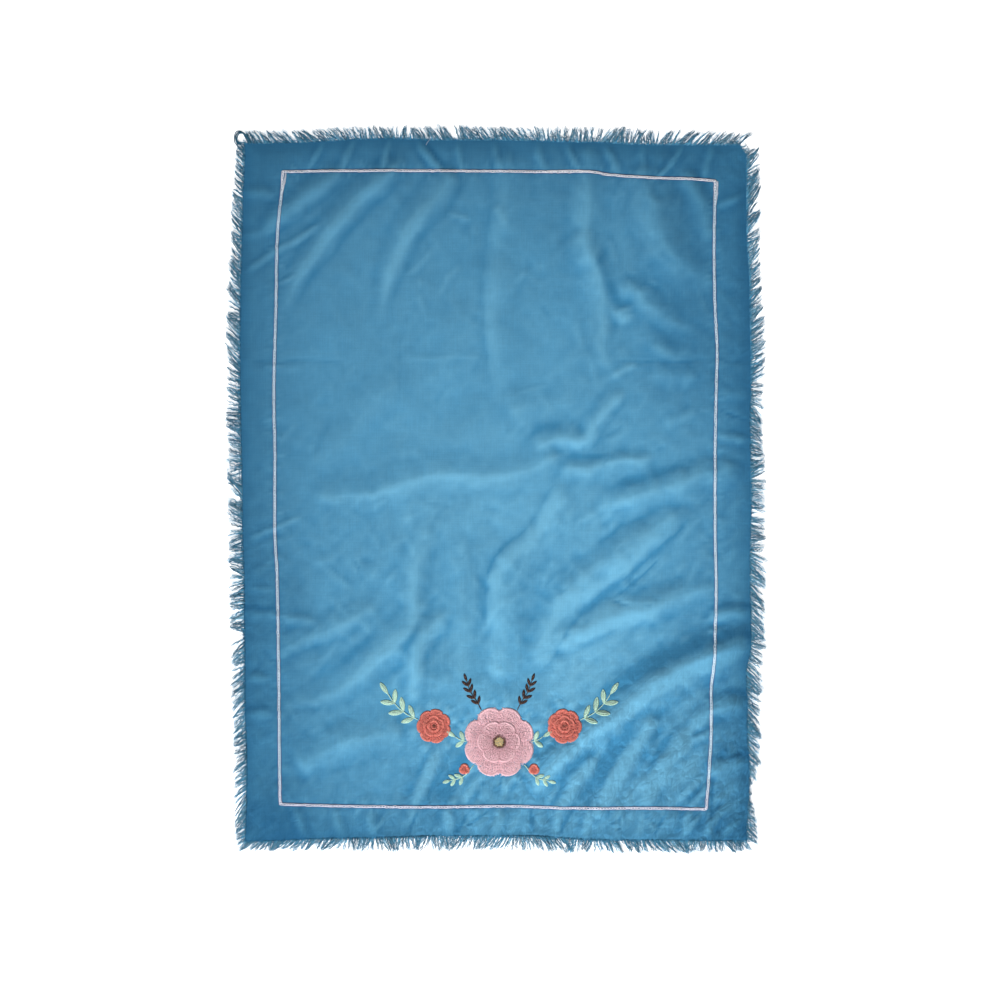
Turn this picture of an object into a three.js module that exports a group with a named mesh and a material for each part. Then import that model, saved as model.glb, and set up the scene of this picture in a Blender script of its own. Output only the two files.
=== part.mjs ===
// A fringed tea towel of plain-woven cotton, lying face up and flat in its washed-in folds.
// Sizes are in millimetres. Seen from above, X runs to the towel's right and Y to its top. It rests on z = 0.

import * as THREE from 'three';

const CLOTH_THICKNESS = 1.2;
const GRID_COLUMNS = 39;
const GRID_ROWS = 54;
const FLAT_MARGIN = 16;
const PIECE_GAP = 0.3;
const STRIP_WIDTH = 2.4;
const STRIP_THICKNESS = 1.2;
const STRIP_END_INSET = 1.2;
const CALM_BY_CORNERS = 16;
const FOLD_STEPS = 24;
const FOLD_END_LENGTH = 34;
const FOLD_END_SHARE = 0.4;

const CLOTH_COLOUR = '#4f93bd';
const FRINGE_COLOUR = '#3f7396';
const COTTON_ROUGHNESS = 0.95;

// The cloth's four edges as it lies, each a little uneven. The top right corner is rounded off.
const LEFT_EDGE = [
  { y: -335, x: -237.5 },
  { y: -274, x: -236.2 },
  { y: -181, x: -238 },
  { y: -105, x: -238.6 },
  { y: -23, x: -240.5 },
  { y: 123, x: -242.8 },
  { y: 186, x: -242.2 },
  { y: 248, x: -240.5 },
  { y: 332, x: -238.2 },
];
const RIGHT_EDGE = [
  { y: -335, x: 239.5 },
  { y: -274, x: 242 },
  { y: -221, x: 240 },
  { y: -172, x: 239.4 },
  { y: -148, x: 242.8 },
  { y: -65, x: 242.8 },
  { y: -2, x: 243.8 },
  { y: 61, x: 242.8 },
  { y: 123, x: 243.6 },
  { y: 197, x: 242.6 },
  { y: 248, x: 239.8 },
  { y: 320, x: 239.4 },
  { y: 332, x: 233 },
];
const BOTTOM_EDGE = [
  { x: -238, y: -335 },
  { x: -142, y: -332.2 },
  { x: -50, y: -329.8 },
  { x: 25, y: -329.8 },
  { x: 108, y: -333.8 },
  { x: 240, y: -334.4 },
];
const TOP_EDGE = [
  { x: -238, y: 328.6 },
  { x: -205, y: 329 },
  { x: -101, y: 333.4 },
  { x: -59, y: 332 },
  { x: 4, y: 332 },
  { x: 87, y: 330 },
  { x: 150, y: 327.4 },
  { x: 233, y: 327.4 },
];

// One row for each fold: its height, how far it spreads to the left and to the right of its crest as seen from
// the crest's first point, and the points that the crest runs through.
const FOLDS = [
  { name: 'cross_fold', height: 5.5, left: 13, right: 16,
    crest: [[-171, -2], [-119, -5], [-95, 1], [-62, 14], [10, 14], [36, 16], [48, 29], [76, 40], [97, 61],
      [124, 83]] },
  { name: 'cross_fold_right', height: 3.2, left: 9, right: 13, crest: [[46, 27], [95, 26], [152, 28]] },
  { name: 'upper_lip', height: 2.6, left: 16, right: 9, crest: [[9, 66], [38, 73], [72, 81]] },
  { name: 'top_edge_fold', height: 5.2, left: 10, right: 24,
    crest: [[88, 312], [87, 232], [97, 203], [107, 177], [112, 151], [119, 127]] },
  { name: 'centre_fold', height: 3.8, left: 18, right: 15,
    crest: [[7, 310], [0, 241], [-4, 198], [0, 151], [6, 104], [22, 66]] },
  { name: 'upper_left_fold', height: 4.2, left: 15, right: 13,
    crest: [[-98, 300], [-141, 263], [-165, 235], [-190, 202]] },
  { name: 'upper_left_long_fold', height: 4.2, left: 16, right: 15,
    crest: [[-44, 294], [-76, 258], [-95, 225], [-104, 184], [-108, 140]] },
  { name: 'upper_left_corner_fold', height: 3, left: 11, right: 10,
    crest: [[-150, 300], [-193, 262], [-215, 232]] },
  { name: 'upper_right_fold', height: 3.8, left: 12, right: 18,
    crest: [[130, 285], [148, 248], [172, 215], [194, 196]] },
  { name: 'hook_fold', height: 3.4, left: 10, right: 10,
    crest: [[121, 166], [138, 179], [158, 167], [180, 148]] },
  { name: 'left_slant_fold', height: 2.2, left: 16, right: 16, crest: [[-88, 88], [-128, 50], [-164, 8]] },
  { name: 'right_slant_fold', height: 3.2, left: 14, right: 10, crest: [[112, -17], [157, -3], [205, 10]] },
  { name: 'big_fold', height: 7, left: 20, right: 16,
    crest: [[172, -20], [119, -53], [83, -78], [63, -100], [45, -133], [27, -166]] },
  { name: 'valley_side_fold', height: 5.4, left: 17, right: 11,
    crest: [[66, -6], [53, -40], [23, -68], [11, -98], [8, -134], [3, -178]] },
  { name: 'short_slant_fold', height: 3.6, left: 13, right: 10,
    crest: [[168, -113], [107, -129], [64, -149]] },
  { name: 'strong_fold', height: 8, left: 22, right: 15,
    crest: [[236, -144], [186, -160], [143, -183], [100, -214], [71, -247], [38, -276]] },
  { name: 'lower_left_fold', height: 5.6, left: 13, right: 14,
    crest: [[-66, -44], [-74, -91], [-76, -127], [-98, -144], [-133, -169], [-186, -199]] },
  { name: 'beside_left_fold', height: 3, left: 11, right: 10,
    crest: [[-52, -122], [-72, -152], [-75, -192]] },
  { name: 'left_border_fold', height: 2.6, left: 11, right: 11,
    crest: [[-118, -126], [-190, -156], [-232, -172]] },
  { name: 'left_low_fold', height: 3, left: 14, right: 14,
    crest: [[-98, -236], [-140, -252], [-176, -270]] },
  { name: 'below_spray_fold', height: 3.4, left: 11, right: 13,
    crest: [[-36, -242], [-56, -268], [-78, -302]] },
  { name: 'low_right_fold', height: 3.6, left: 12, right: 12,
    crest: [[166, -216], [154, -250], [140, -292]] },
  { name: 'low_right_second_fold', height: 3.4, left: 11, right: 12,
    crest: [[118, -226], [104, -258], [90, -302]] },
  { name: 'right_border_fold', height: 2.8, left: 12, right: 10,
    crest: [[234, -198], [208, -206], [184, -226]] },
  { name: 'bottom_pucker_left', height: 2, left: 9, right: 9, crest: [[-81, -292], [-84, -326]] },
  { name: 'bottom_pucker_middle', height: 2, left: 9, right: 9, crest: [[2, -290], [-2, -326]] },
  { name: 'bottom_pucker_right', height: 2.2, left: 9, right: 9, crest: [[180, -286], [172, -326]] },
  { name: 'upper_swell', height: 1.6, left: 42, right: 46, crest: [[-120, 60], [-40, 130], [20, 220]] },
  { name: 'lower_swell', height: 1.6, left: 40, right: 40, crest: [[-150, -90], [-60, -180], [60, -210]] },
];

// One row for each fringed side. Reach is how far the locks stand out, slant how far they lean along the side
// for each millimetre of reach, and bare the places along the side where a lock is missing.
const FRINGES = [
  { name: 'fringe_top', out: [0, 1], locks: 63, bare: [-202],
    reach: [{ at: -240, value: 10.4 }, { at: -140, value: 9.6 }, { at: 0, value: 11 },
      { at: 100, value: 12 }, { at: 240, value: 10 }],
    slant: [{ at: -240, value: -0.8 }, { at: -120, value: -0.6 }, { at: 20, value: -0.8 },
      { at: 80, value: 0.1 }, { at: 240, value: 0.8 }] },
  { name: 'fringe_bottom', out: [0, -1], locks: 63, bare: [118],
    reach: [{ at: -240, value: 7.4 }, { at: -140, value: 8.4 }, { at: 0, value: 11.2 },
      { at: 70, value: 10.8 }, { at: 130, value: 9 }, { at: 240, value: 9.2 }],
    slant: [{ at: -240, value: -0.9 }, { at: -110, value: 0 }, { at: 0, value: -0.4 },
      { at: 60, value: 0.1 }, { at: 240, value: 0.6 }] },
  { name: 'fringe_left', out: [-1, 0], locks: 86, bare: [13, -139],
    reach: [{ at: -335, value: 9.4 }, { at: -190, value: 10 }, { at: -100, value: 12 },
      { at: 40, value: 12.2 }, { at: 130, value: 10.6 }, { at: 335, value: 9 }],
    slant: [{ at: -335, value: -1.1 }, { at: -160, value: -0.7 }, { at: -60, value: 0 },
      { at: 60, value: 0.4 }, { at: 190, value: 1.2 }, { at: 335, value: 1.2 }] },
  { name: 'fringe_right', out: [1, 0], locks: 86, bare: [-23, -283],
    reach: [{ at: -335, value: 8.8 }, { at: -285, value: 6.6 }, { at: -170, value: 11.8 },
      { at: -60, value: 11.6 }, { at: 60, value: 9.6 }, { at: 123, value: 10.8 },
      { at: 200, value: 8.8 }, { at: 335, value: 9.6 }],
    slant: [{ at: -335, value: -1.1 }, { at: -160, value: -0.8 }, { at: -40, value: -0.2 },
      { at: 60, value: -0.5 }, { at: 130, value: 0.7 }, { at: 335, value: 1.1 }] },
];

// Shares of a lock's own measures.
const LOCK_ROOT_SHARE = 0.66;
const LOCK_ROOT_UNEVEN = 0.12;
const LOCK_MIDDLE_AT = 0.55;
const LOCK_MIDDLE_WIDTH = 0.62;
const LOCK_MIDDLE_LEAN = 0.4;
const LOCK_MIDDLE_THICKNESS = 0.75;
const LOCK_REACH_UNEVEN = 0.16;
const LOCK_LEAN_UNEVEN = 2;

// Rises smoothly from 0 to 1 as the value goes from 0 to 1.
function ease(value) {
  const t = Math.min(1, Math.max(0, value));
  return t * t * (3 - 2 * t);
}

// A repeatable unevenness from -1 to 1 for the lock with this number, another one for each kind of measure.
const SCATTER = { number: 12.9898, kind: 78.233, size: 43758.5453 };
function uneven(number, kind) {
  const scattered = Math.abs(Math.sin(number * SCATTER.number + kind * SCATTER.kind) * SCATTER.size);
  return 2 * (scattered % 1) - 1;
}

// Reads a table by one column, easing between its rows.
function readTable(table, place, placeColumn, valueColumn) {
  if (place <= table[0][placeColumn]) return table[0][valueColumn];
  for (let i = 1; i < table.length; i += 1) {
    const low = table[i - 1];
    const high = table[i];
    if (place <= high[placeColumn]) {
      const share = ease((place - low[placeColumn]) / (high[placeColumn] - low[placeColumn]));
      return low[valueColumn] + share * (high[valueColumn] - low[valueColumn]);
    }
  }
  return table[table.length - 1][valueColumn];
}

// Collects the points and faces of one closed body.
class Body {
  constructor() {
    this.points = [];
    this.faces = [];
  }

  point(x, y, z) {
    this.points.push(x, y, z);
    return this.points.length / 3 - 1;
  }

  triangle(a, b, c) {
    this.faces.push(a, b, c);
  }

  quad(a, b, c, d) {
    this.faces.push(a, b, c, a, c, d);
  }

  mesh(name, color) {
    const geometry = new THREE.BufferGeometry();
    geometry.setAttribute('position', new THREE.Float32BufferAttribute(this.points, 3));
    geometry.setIndex(this.faces);
    geometry.computeVertexNormals();
    const finish = { color, roughness: COTTON_ROUGHNESS, metalness: 0, flatShading: true };
    const mesh = new THREE.Mesh(geometry, new THREE.MeshStandardMaterial(finish));
    mesh.name = name;
    return mesh;
  }
}

// Each fold's crest as a smooth line of evenly spaced points.
const foldLines = FOLDS.map((fold) => {
  const curve = new THREE.CatmullRomCurve3(fold.crest.map(([x, y]) => new THREE.Vector3(x, y, 0)));
  const easeLength = Math.min(FOLD_END_LENGTH, curve.getLength() * FOLD_END_SHARE);
  return { fold, line: curve.getSpacedPoints(FOLD_STEPS), length: curve.getLength(), easeLength };
});

// The height that one fold gives the cloth at a place: a rounded ridge that fades out at both ends.
function ridge({ fold, line, length, easeLength }, x, y) {
  let best = null;
  for (let i = 0; i < line.length - 1; i += 1) {
    const dx = line[i + 1].x - line[i].x;
    const dy = line[i + 1].y - line[i].y;
    const reached = ((x - line[i].x) * dx + (y - line[i].y) * dy) / (dx * dx + dy * dy);
    const along = Math.min(1, Math.max(0, reached));
    const offX = x - line[i].x - along * dx;
    const offY = y - line[i].y - along * dy;
    const away = Math.hypot(offX, offY);
    if (best === null || away < best.away) {
      best = { away, onLeft: dx * offY - dy * offX > 0, travelled: ((i + along) / FOLD_STEPS) * length };
    }
  }
  const spread = best.onLeft ? fold.left : fold.right;
  const ends = ease(best.travelled / easeLength) * ease((length - best.travelled) / easeLength);
  return fold.height * ends * (1 - ease(best.away / spread));
}

// How far the cloth lifts off the surface at a place, apart from the fading at its edges.
function lift(x, y) {
  return foldLines.reduce((sum, foldLine) => sum + ridge(foldLine, x, y), 0);
}

// The cloth's grid of places in plan, as rows from bottom to top.
const TOP_Y = 332;
const BOTTOM_Y = -335;
const grid = [];
for (let row = 0; row <= GRID_ROWS; row += 1) {
  const up = row / GRID_ROWS;
  const levelY = BOTTOM_Y + up * (TOP_Y - BOTTOM_Y);
  const leftX = readTable(LEFT_EDGE, levelY, 'y', 'x');
  const rightX = readTable(RIGHT_EDGE, levelY, 'y', 'x');
  const places = [];
  for (let column = 0; column <= GRID_COLUMNS; column += 1) {
    const x = leftX + (column / GRID_COLUMNS) * (rightX - leftX);
    const lowY = readTable(BOTTOM_EDGE, x, 'x', 'y');
    const highY = readTable(TOP_EDGE, x, 'x', 'y');
    places.push({ x, y: lowY + up * (highY - lowY) });
  }
  grid.push(places);
}

// The blue ground: one sheet of even thickness that follows its folds and lies flat between them.
function makeCloth() {
  const body = new Body();
  const under = [];
  const upper = [];
  const heights = [];
  for (let row = 0; row <= GRID_ROWS; row += 1) {
    under.push([]);
    upper.push([]);
    heights.push([]);
    for (let column = 0; column <= GRID_COLUMNS; column += 1) {
      const { x, y } = grid[row][column];
      const fromSide = Math.min(x - grid[row][0].x, grid[row][GRID_COLUMNS].x - x);
      const fromEnd = Math.min(y - grid[0][column].y, grid[GRID_ROWS][column].y - y);
      const height = lift(x, y) * ease(Math.min(fromSide, fromEnd) / FLAT_MARGIN);
      heights[row].push(height);
      under[row].push(body.point(x, y, height));
      upper[row].push(body.point(x, y, height + CLOTH_THICKNESS));
    }
  }
  for (let row = 0; row < GRID_ROWS; row += 1) {
    for (let column = 0; column < GRID_COLUMNS; column += 1) {
      const risingStep = Math.abs(heights[row][column] - heights[row + 1][column + 1]);
      const fallingStep = Math.abs(heights[row][column + 1] - heights[row + 1][column]);
      const cornersOf = (sheet) => [sheet[row][column], sheet[row][column + 1],
        sheet[row + 1][column + 1], sheet[row + 1][column]];
      const [a, b, c, d] = cornersOf(upper);
      const [e, f, g, h] = cornersOf(under);
      if (risingStep <= fallingStep) {
        body.quad(a, b, c, d);
        body.quad(g, f, e, h);
      } else {
        body.quad(b, c, d, a);
        body.quad(f, e, h, g);
      }
    }
  }
  // The cut edges all round, followed anticlockwise as seen from above.
  const closeEdge = (lows, highs) => {
    for (let i = 0; i < lows.length - 1; i += 1) body.quad(lows[i], lows[i + 1], highs[i + 1], highs[i]);
  };
  const rightOf = (sheet) => sheet.map((places) => places[GRID_COLUMNS]);
  const leftOf = (sheet) => sheet.map((places) => places[0]).reverse();
  closeEdge(under[0], upper[0]);
  closeEdge(rightOf(under), rightOf(upper));
  closeEdge([...under[GRID_ROWS]].reverse(), [...upper[GRID_ROWS]].reverse());
  closeEdge(leftOf(under), leftOf(upper));
  return body.mesh('cloth', CLOTH_COLOUR);
}

// The cloth's edge on one side, from its low end to its high end.
function clothEdge(out) {
  if (out[1] === 1) return grid[GRID_ROWS];
  if (out[1] === -1) return grid[0];
  return grid.map((places) => (out[0] === 1 ? places[GRID_COLUMNS] : places[0]));
}

// One fringed side: a narrow strip along the cloth's edge, and the locks that grow out of it on the surface.
function makeFringe({ name, out, locks, bare, reach, slant }) {
  const [outX, outY] = out;
  const alongKey = outX === 0 ? 'x' : 'y';
  const outKey = outX === 0 ? 'y' : 'x';
  const outSign = outX + outY;
  const edge = clothEdge(out);
  const first = edge[0][alongKey] + STRIP_END_INSET;
  const last = edge[edge.length - 1][alongKey] - STRIP_END_INSET;

  // The cloth's edge at a place along the side, straight between its grid points.
  const edgeAt = (along) => {
    let i = 1;
    while (i < edge.length - 1 && edge[i][alongKey] < along) i += 1;
    const share = (along - edge[i - 1][alongKey]) / (edge[i][alongKey] - edge[i - 1][alongKey]);
    return edge[i - 1][outKey] + share * (edge[i][outKey] - edge[i - 1][outKey]);
  };

  const body = new Body();
  const corner = (along, outward, z) => {
    const [x, y] = outX === 0 ? [along, outward] : [outward, along];
    return body.point(x, y, z);
  };
  // A pair of points, one on the surface and one above it, at a distance out from the cloth's edge.
  const pair = (along, distance, thickness) => {
    const outward = edgeAt(along) + outSign * distance;
    return { along, low: corner(along, outward, 0), high: corner(along, outward, thickness) };
  };

  const innerPlaces = [first, ...edge.slice(1, -1).map((place) => place[alongKey]), last];
  const inner = innerPlaces.map((along) => pair(along, PIECE_GAP, STRIP_THICKNESS));

  // Each lock takes its own stretch of the strip's outer edge, from its root's start to its end.
  const rootsOut = PIECE_GAP + STRIP_WIDTH;
  const pitch = (last - first) / locks;
  const roots = [];
  for (let i = 0; i < locks; i += 1) {
    const middle = first + (i + 0.5) * pitch;
    if (bare.some((place) => Math.abs(place - middle) < pitch / 2)) continue;
    const width = pitch * (LOCK_ROOT_SHARE + LOCK_ROOT_UNEVEN * uneven(i, 1));
    const start = pair(middle - width / 2, rootsOut, STRIP_THICKNESS);
    const end = pair(middle + width / 2, rootsOut, STRIP_THICKNESS);
    roots.push({ number: i, middle, width, start, end });
  }
  const outer = [pair(first, rootsOut, STRIP_THICKNESS)];
  roots.forEach(({ start, end }) => outer.push(start, end));
  outer.push(pair(last, rootsOut, STRIP_THICKNESS));

  // Faces are written for a side whose outside lies to the left of its length, and turned for the others.
  const turned = outX === 0 ? outSign < 0 : outSign > 0;
  const triangle = (a, b, c) => (turned ? body.triangle(a, c, b) : body.triangle(a, b, c));
  const quad = (a, b, c, d) => (turned ? body.quad(a, d, c, b) : body.quad(a, b, c, d));

  // The strip's upper and under faces join its inner edge to its outer edge, point by point along the side.
  let i = 0;
  let o = 0;
  while (i < inner.length - 1 || o < outer.length - 1) {
    const outerDone = o === outer.length - 1;
    const stepInner = outerDone || (i < inner.length - 1 && inner[i + 1].along < outer[o + 1].along);
    const next = stepInner ? inner[i + 1] : outer[o + 1];
    triangle(inner[i].high, next.high, outer[o].high);
    triangle(inner[i].low, outer[o].low, next.low);
    if (stepInner) i += 1;
    else o += 1;
  }
  for (let n = 0; n < inner.length - 1; n += 1) {
    quad(inner[n].low, inner[n + 1].low, inner[n + 1].high, inner[n].high);
  }
  for (let n = 0; n < outer.length - 1; n += 2) {
    quad(outer[n + 1].low, outer[n].low, outer[n].high, outer[n + 1].high);
  }
  const lastInner = inner[inner.length - 1];
  const lastOuter = outer[outer.length - 1];
  quad(inner[0].low, inner[0].high, outer[0].high, outer[0].low);
  quad(lastInner.high, lastInner.low, lastOuter.low, lastOuter.high);

  // A lock narrows from its root to its middle and comes to a point at its tip, level on the surface.
  roots.forEach(({ number, middle, width, start, end }) => {
    const calm = ease(Math.min(middle - first, last - middle) / CALM_BY_CORNERS);
    const unevenReach = 1 + LOCK_REACH_UNEVEN * uneven(number, 2);
    const stand = readTable(reach, middle, 'at', 'value') * unevenReach - STRIP_WIDTH;
    const unevenLean = calm * LOCK_LEAN_UNEVEN * uneven(number, 3);
    const lean = stand * readTable(slant, middle, 'at', 'value') + unevenLean;
    const outwardAt = (share) => edgeAt(middle) + outSign * (rootsOut + stand * share);
    const [near, far] = [-width / 2, width / 2].map((side) => {
      const along = middle + lean * LOCK_MIDDLE_LEAN + side * LOCK_MIDDLE_WIDTH;
      const outward = outwardAt(LOCK_MIDDLE_AT);
      const thickness = STRIP_THICKNESS * LOCK_MIDDLE_THICKNESS;
      return { low: corner(along, outward, 0), high: corner(along, outward, thickness) };
    });
    const tip = corner(middle + lean, outwardAt(1), 0);
    quad(start.high, end.high, far.high, near.high);
    quad(start.low, near.low, far.low, end.low);
    quad(start.low, start.high, near.high, near.low);
    quad(end.high, end.low, far.low, far.high);
    triangle(near.high, far.high, tip);
    triangle(far.low, near.low, tip);
    triangle(near.low, near.high, tip);
    triangle(far.high, far.low, tip);
  });
  return body.mesh(name, FRINGE_COLOUR);
}

// The towel, moved so that its own middle lies over the origin.
const towel = new THREE.Group();
towel.add(makeCloth());
FRINGES.forEach((fringe) => towel.add(makeFringe(fringe)));
const middle = new THREE.Box3().setFromObject(towel).getCenter(new THREE.Vector3());
towel.position.set(-middle.x, -middle.y, 0);

export default towel;
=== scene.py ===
"""A fringed and embroidered tea towel, lying face up in its soft folds.

The tables and the stitches' patterns are in millimetres on the towel's own plan, with X to its right and Y to
its top. Everything is turned into Blender's metres when its mesh is made.
"""

import math

import bpy
import numpy as np
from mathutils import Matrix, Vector, noise


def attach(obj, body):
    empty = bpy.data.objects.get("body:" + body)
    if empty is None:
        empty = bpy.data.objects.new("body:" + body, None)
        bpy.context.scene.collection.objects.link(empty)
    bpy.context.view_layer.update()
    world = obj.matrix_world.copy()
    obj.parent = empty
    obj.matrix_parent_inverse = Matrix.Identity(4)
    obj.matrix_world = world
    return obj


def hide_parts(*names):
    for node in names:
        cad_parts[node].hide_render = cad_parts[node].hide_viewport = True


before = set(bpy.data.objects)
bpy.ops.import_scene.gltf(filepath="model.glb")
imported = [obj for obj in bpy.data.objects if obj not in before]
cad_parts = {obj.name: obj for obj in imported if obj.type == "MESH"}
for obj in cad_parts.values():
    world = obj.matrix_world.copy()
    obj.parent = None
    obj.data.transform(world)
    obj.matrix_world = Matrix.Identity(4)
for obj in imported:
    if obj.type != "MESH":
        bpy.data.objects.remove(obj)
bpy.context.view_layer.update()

MM = 0.001
FULL_TURN = 2 * math.pi

# The part's source moves the towel by this much, so that its middle lies over the origin.
TOWEL_SHIFT = np.array([-0.4732, 0.0934, 0.0])

# The photograph's height in pixels, the towel's real size for one of them, and the place under the camera.
PHOTO_HEIGHT = 995
PIXEL_SIZE = 0.95
VIEW_MIDDLE = (1.9, -8.075)
LENS = 100.0
SENSOR = 36.0

# The woven sheet: its thickness, its mesh's cells, its least height over the surface, the height that its
# folds and troughs are counted from, and the levels of its top and bottom.
CLOTH_THICKNESS = 0.7
CLOTH_COLUMNS = 176
CLOTH_ROWS = 243
CLOTH_REST = 0.05
CLOTH_LIFT = 1.0
TOP_Y = 332.0
BOTTOM_Y = -335.0

# Folds die out to this share of their height at the cloth's edge, over this distance.
EDGE_SHARE = 0.32
FLAT_MARGIN = 15.0

# How a fold fades and narrows to its ends, how its height sways along it, and how much of its section is
# sharp: of a plain side and of a crisp one.
FOLD_STEPS = 24
FOLD_END_LENGTH = 16.0
FOLD_END_SHARE = 0.35
FOLD_END_WIDTH = 0.5
FOLD_SWAY = 0.1
FOLD_SWAY_LENGTH = 9.0
PLAIN_SHARP = 0.28
CRISP_SHARP = 0.65

# The steps that a smooth line is worked out in, between two of its given points, before it is spaced evenly.
CURVE_STEPS = 12

# The cloth's four edges as it lies, as in the part's source. Rows are (y, x) for the sides and (x, y) for the
# ends.
LEFT_EDGE = [(-335, -237.5), (-274, -236.2), (-181, -238), (-105, -238.6), (-23, -240.5), (123, -242.8),
             (186, -242.2), (248, -240.5), (332, -238.2)]
RIGHT_EDGE = [(-335, 239.5), (-274, 242), (-221, 240), (-172, 239.4), (-148, 242.8), (-65, 242.8),
              (-2, 243.8), (61, 242.8), (123, 243.6), (197, 242.6), (248, 239.8), (320, 239.4), (332, 233)]
BOTTOM_EDGE = [(-238, -335), (-142, -332.2), (-50, -329.8), (25, -329.8), (108, -333.8), (240, -334.4)]
TOP_EDGE = [(-238, 328.6), (-205, 329), (-101, 333.4), (-59, 332), (4, 332), (87, 330), (150, 327.4),
            (233, 327.4)]

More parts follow.
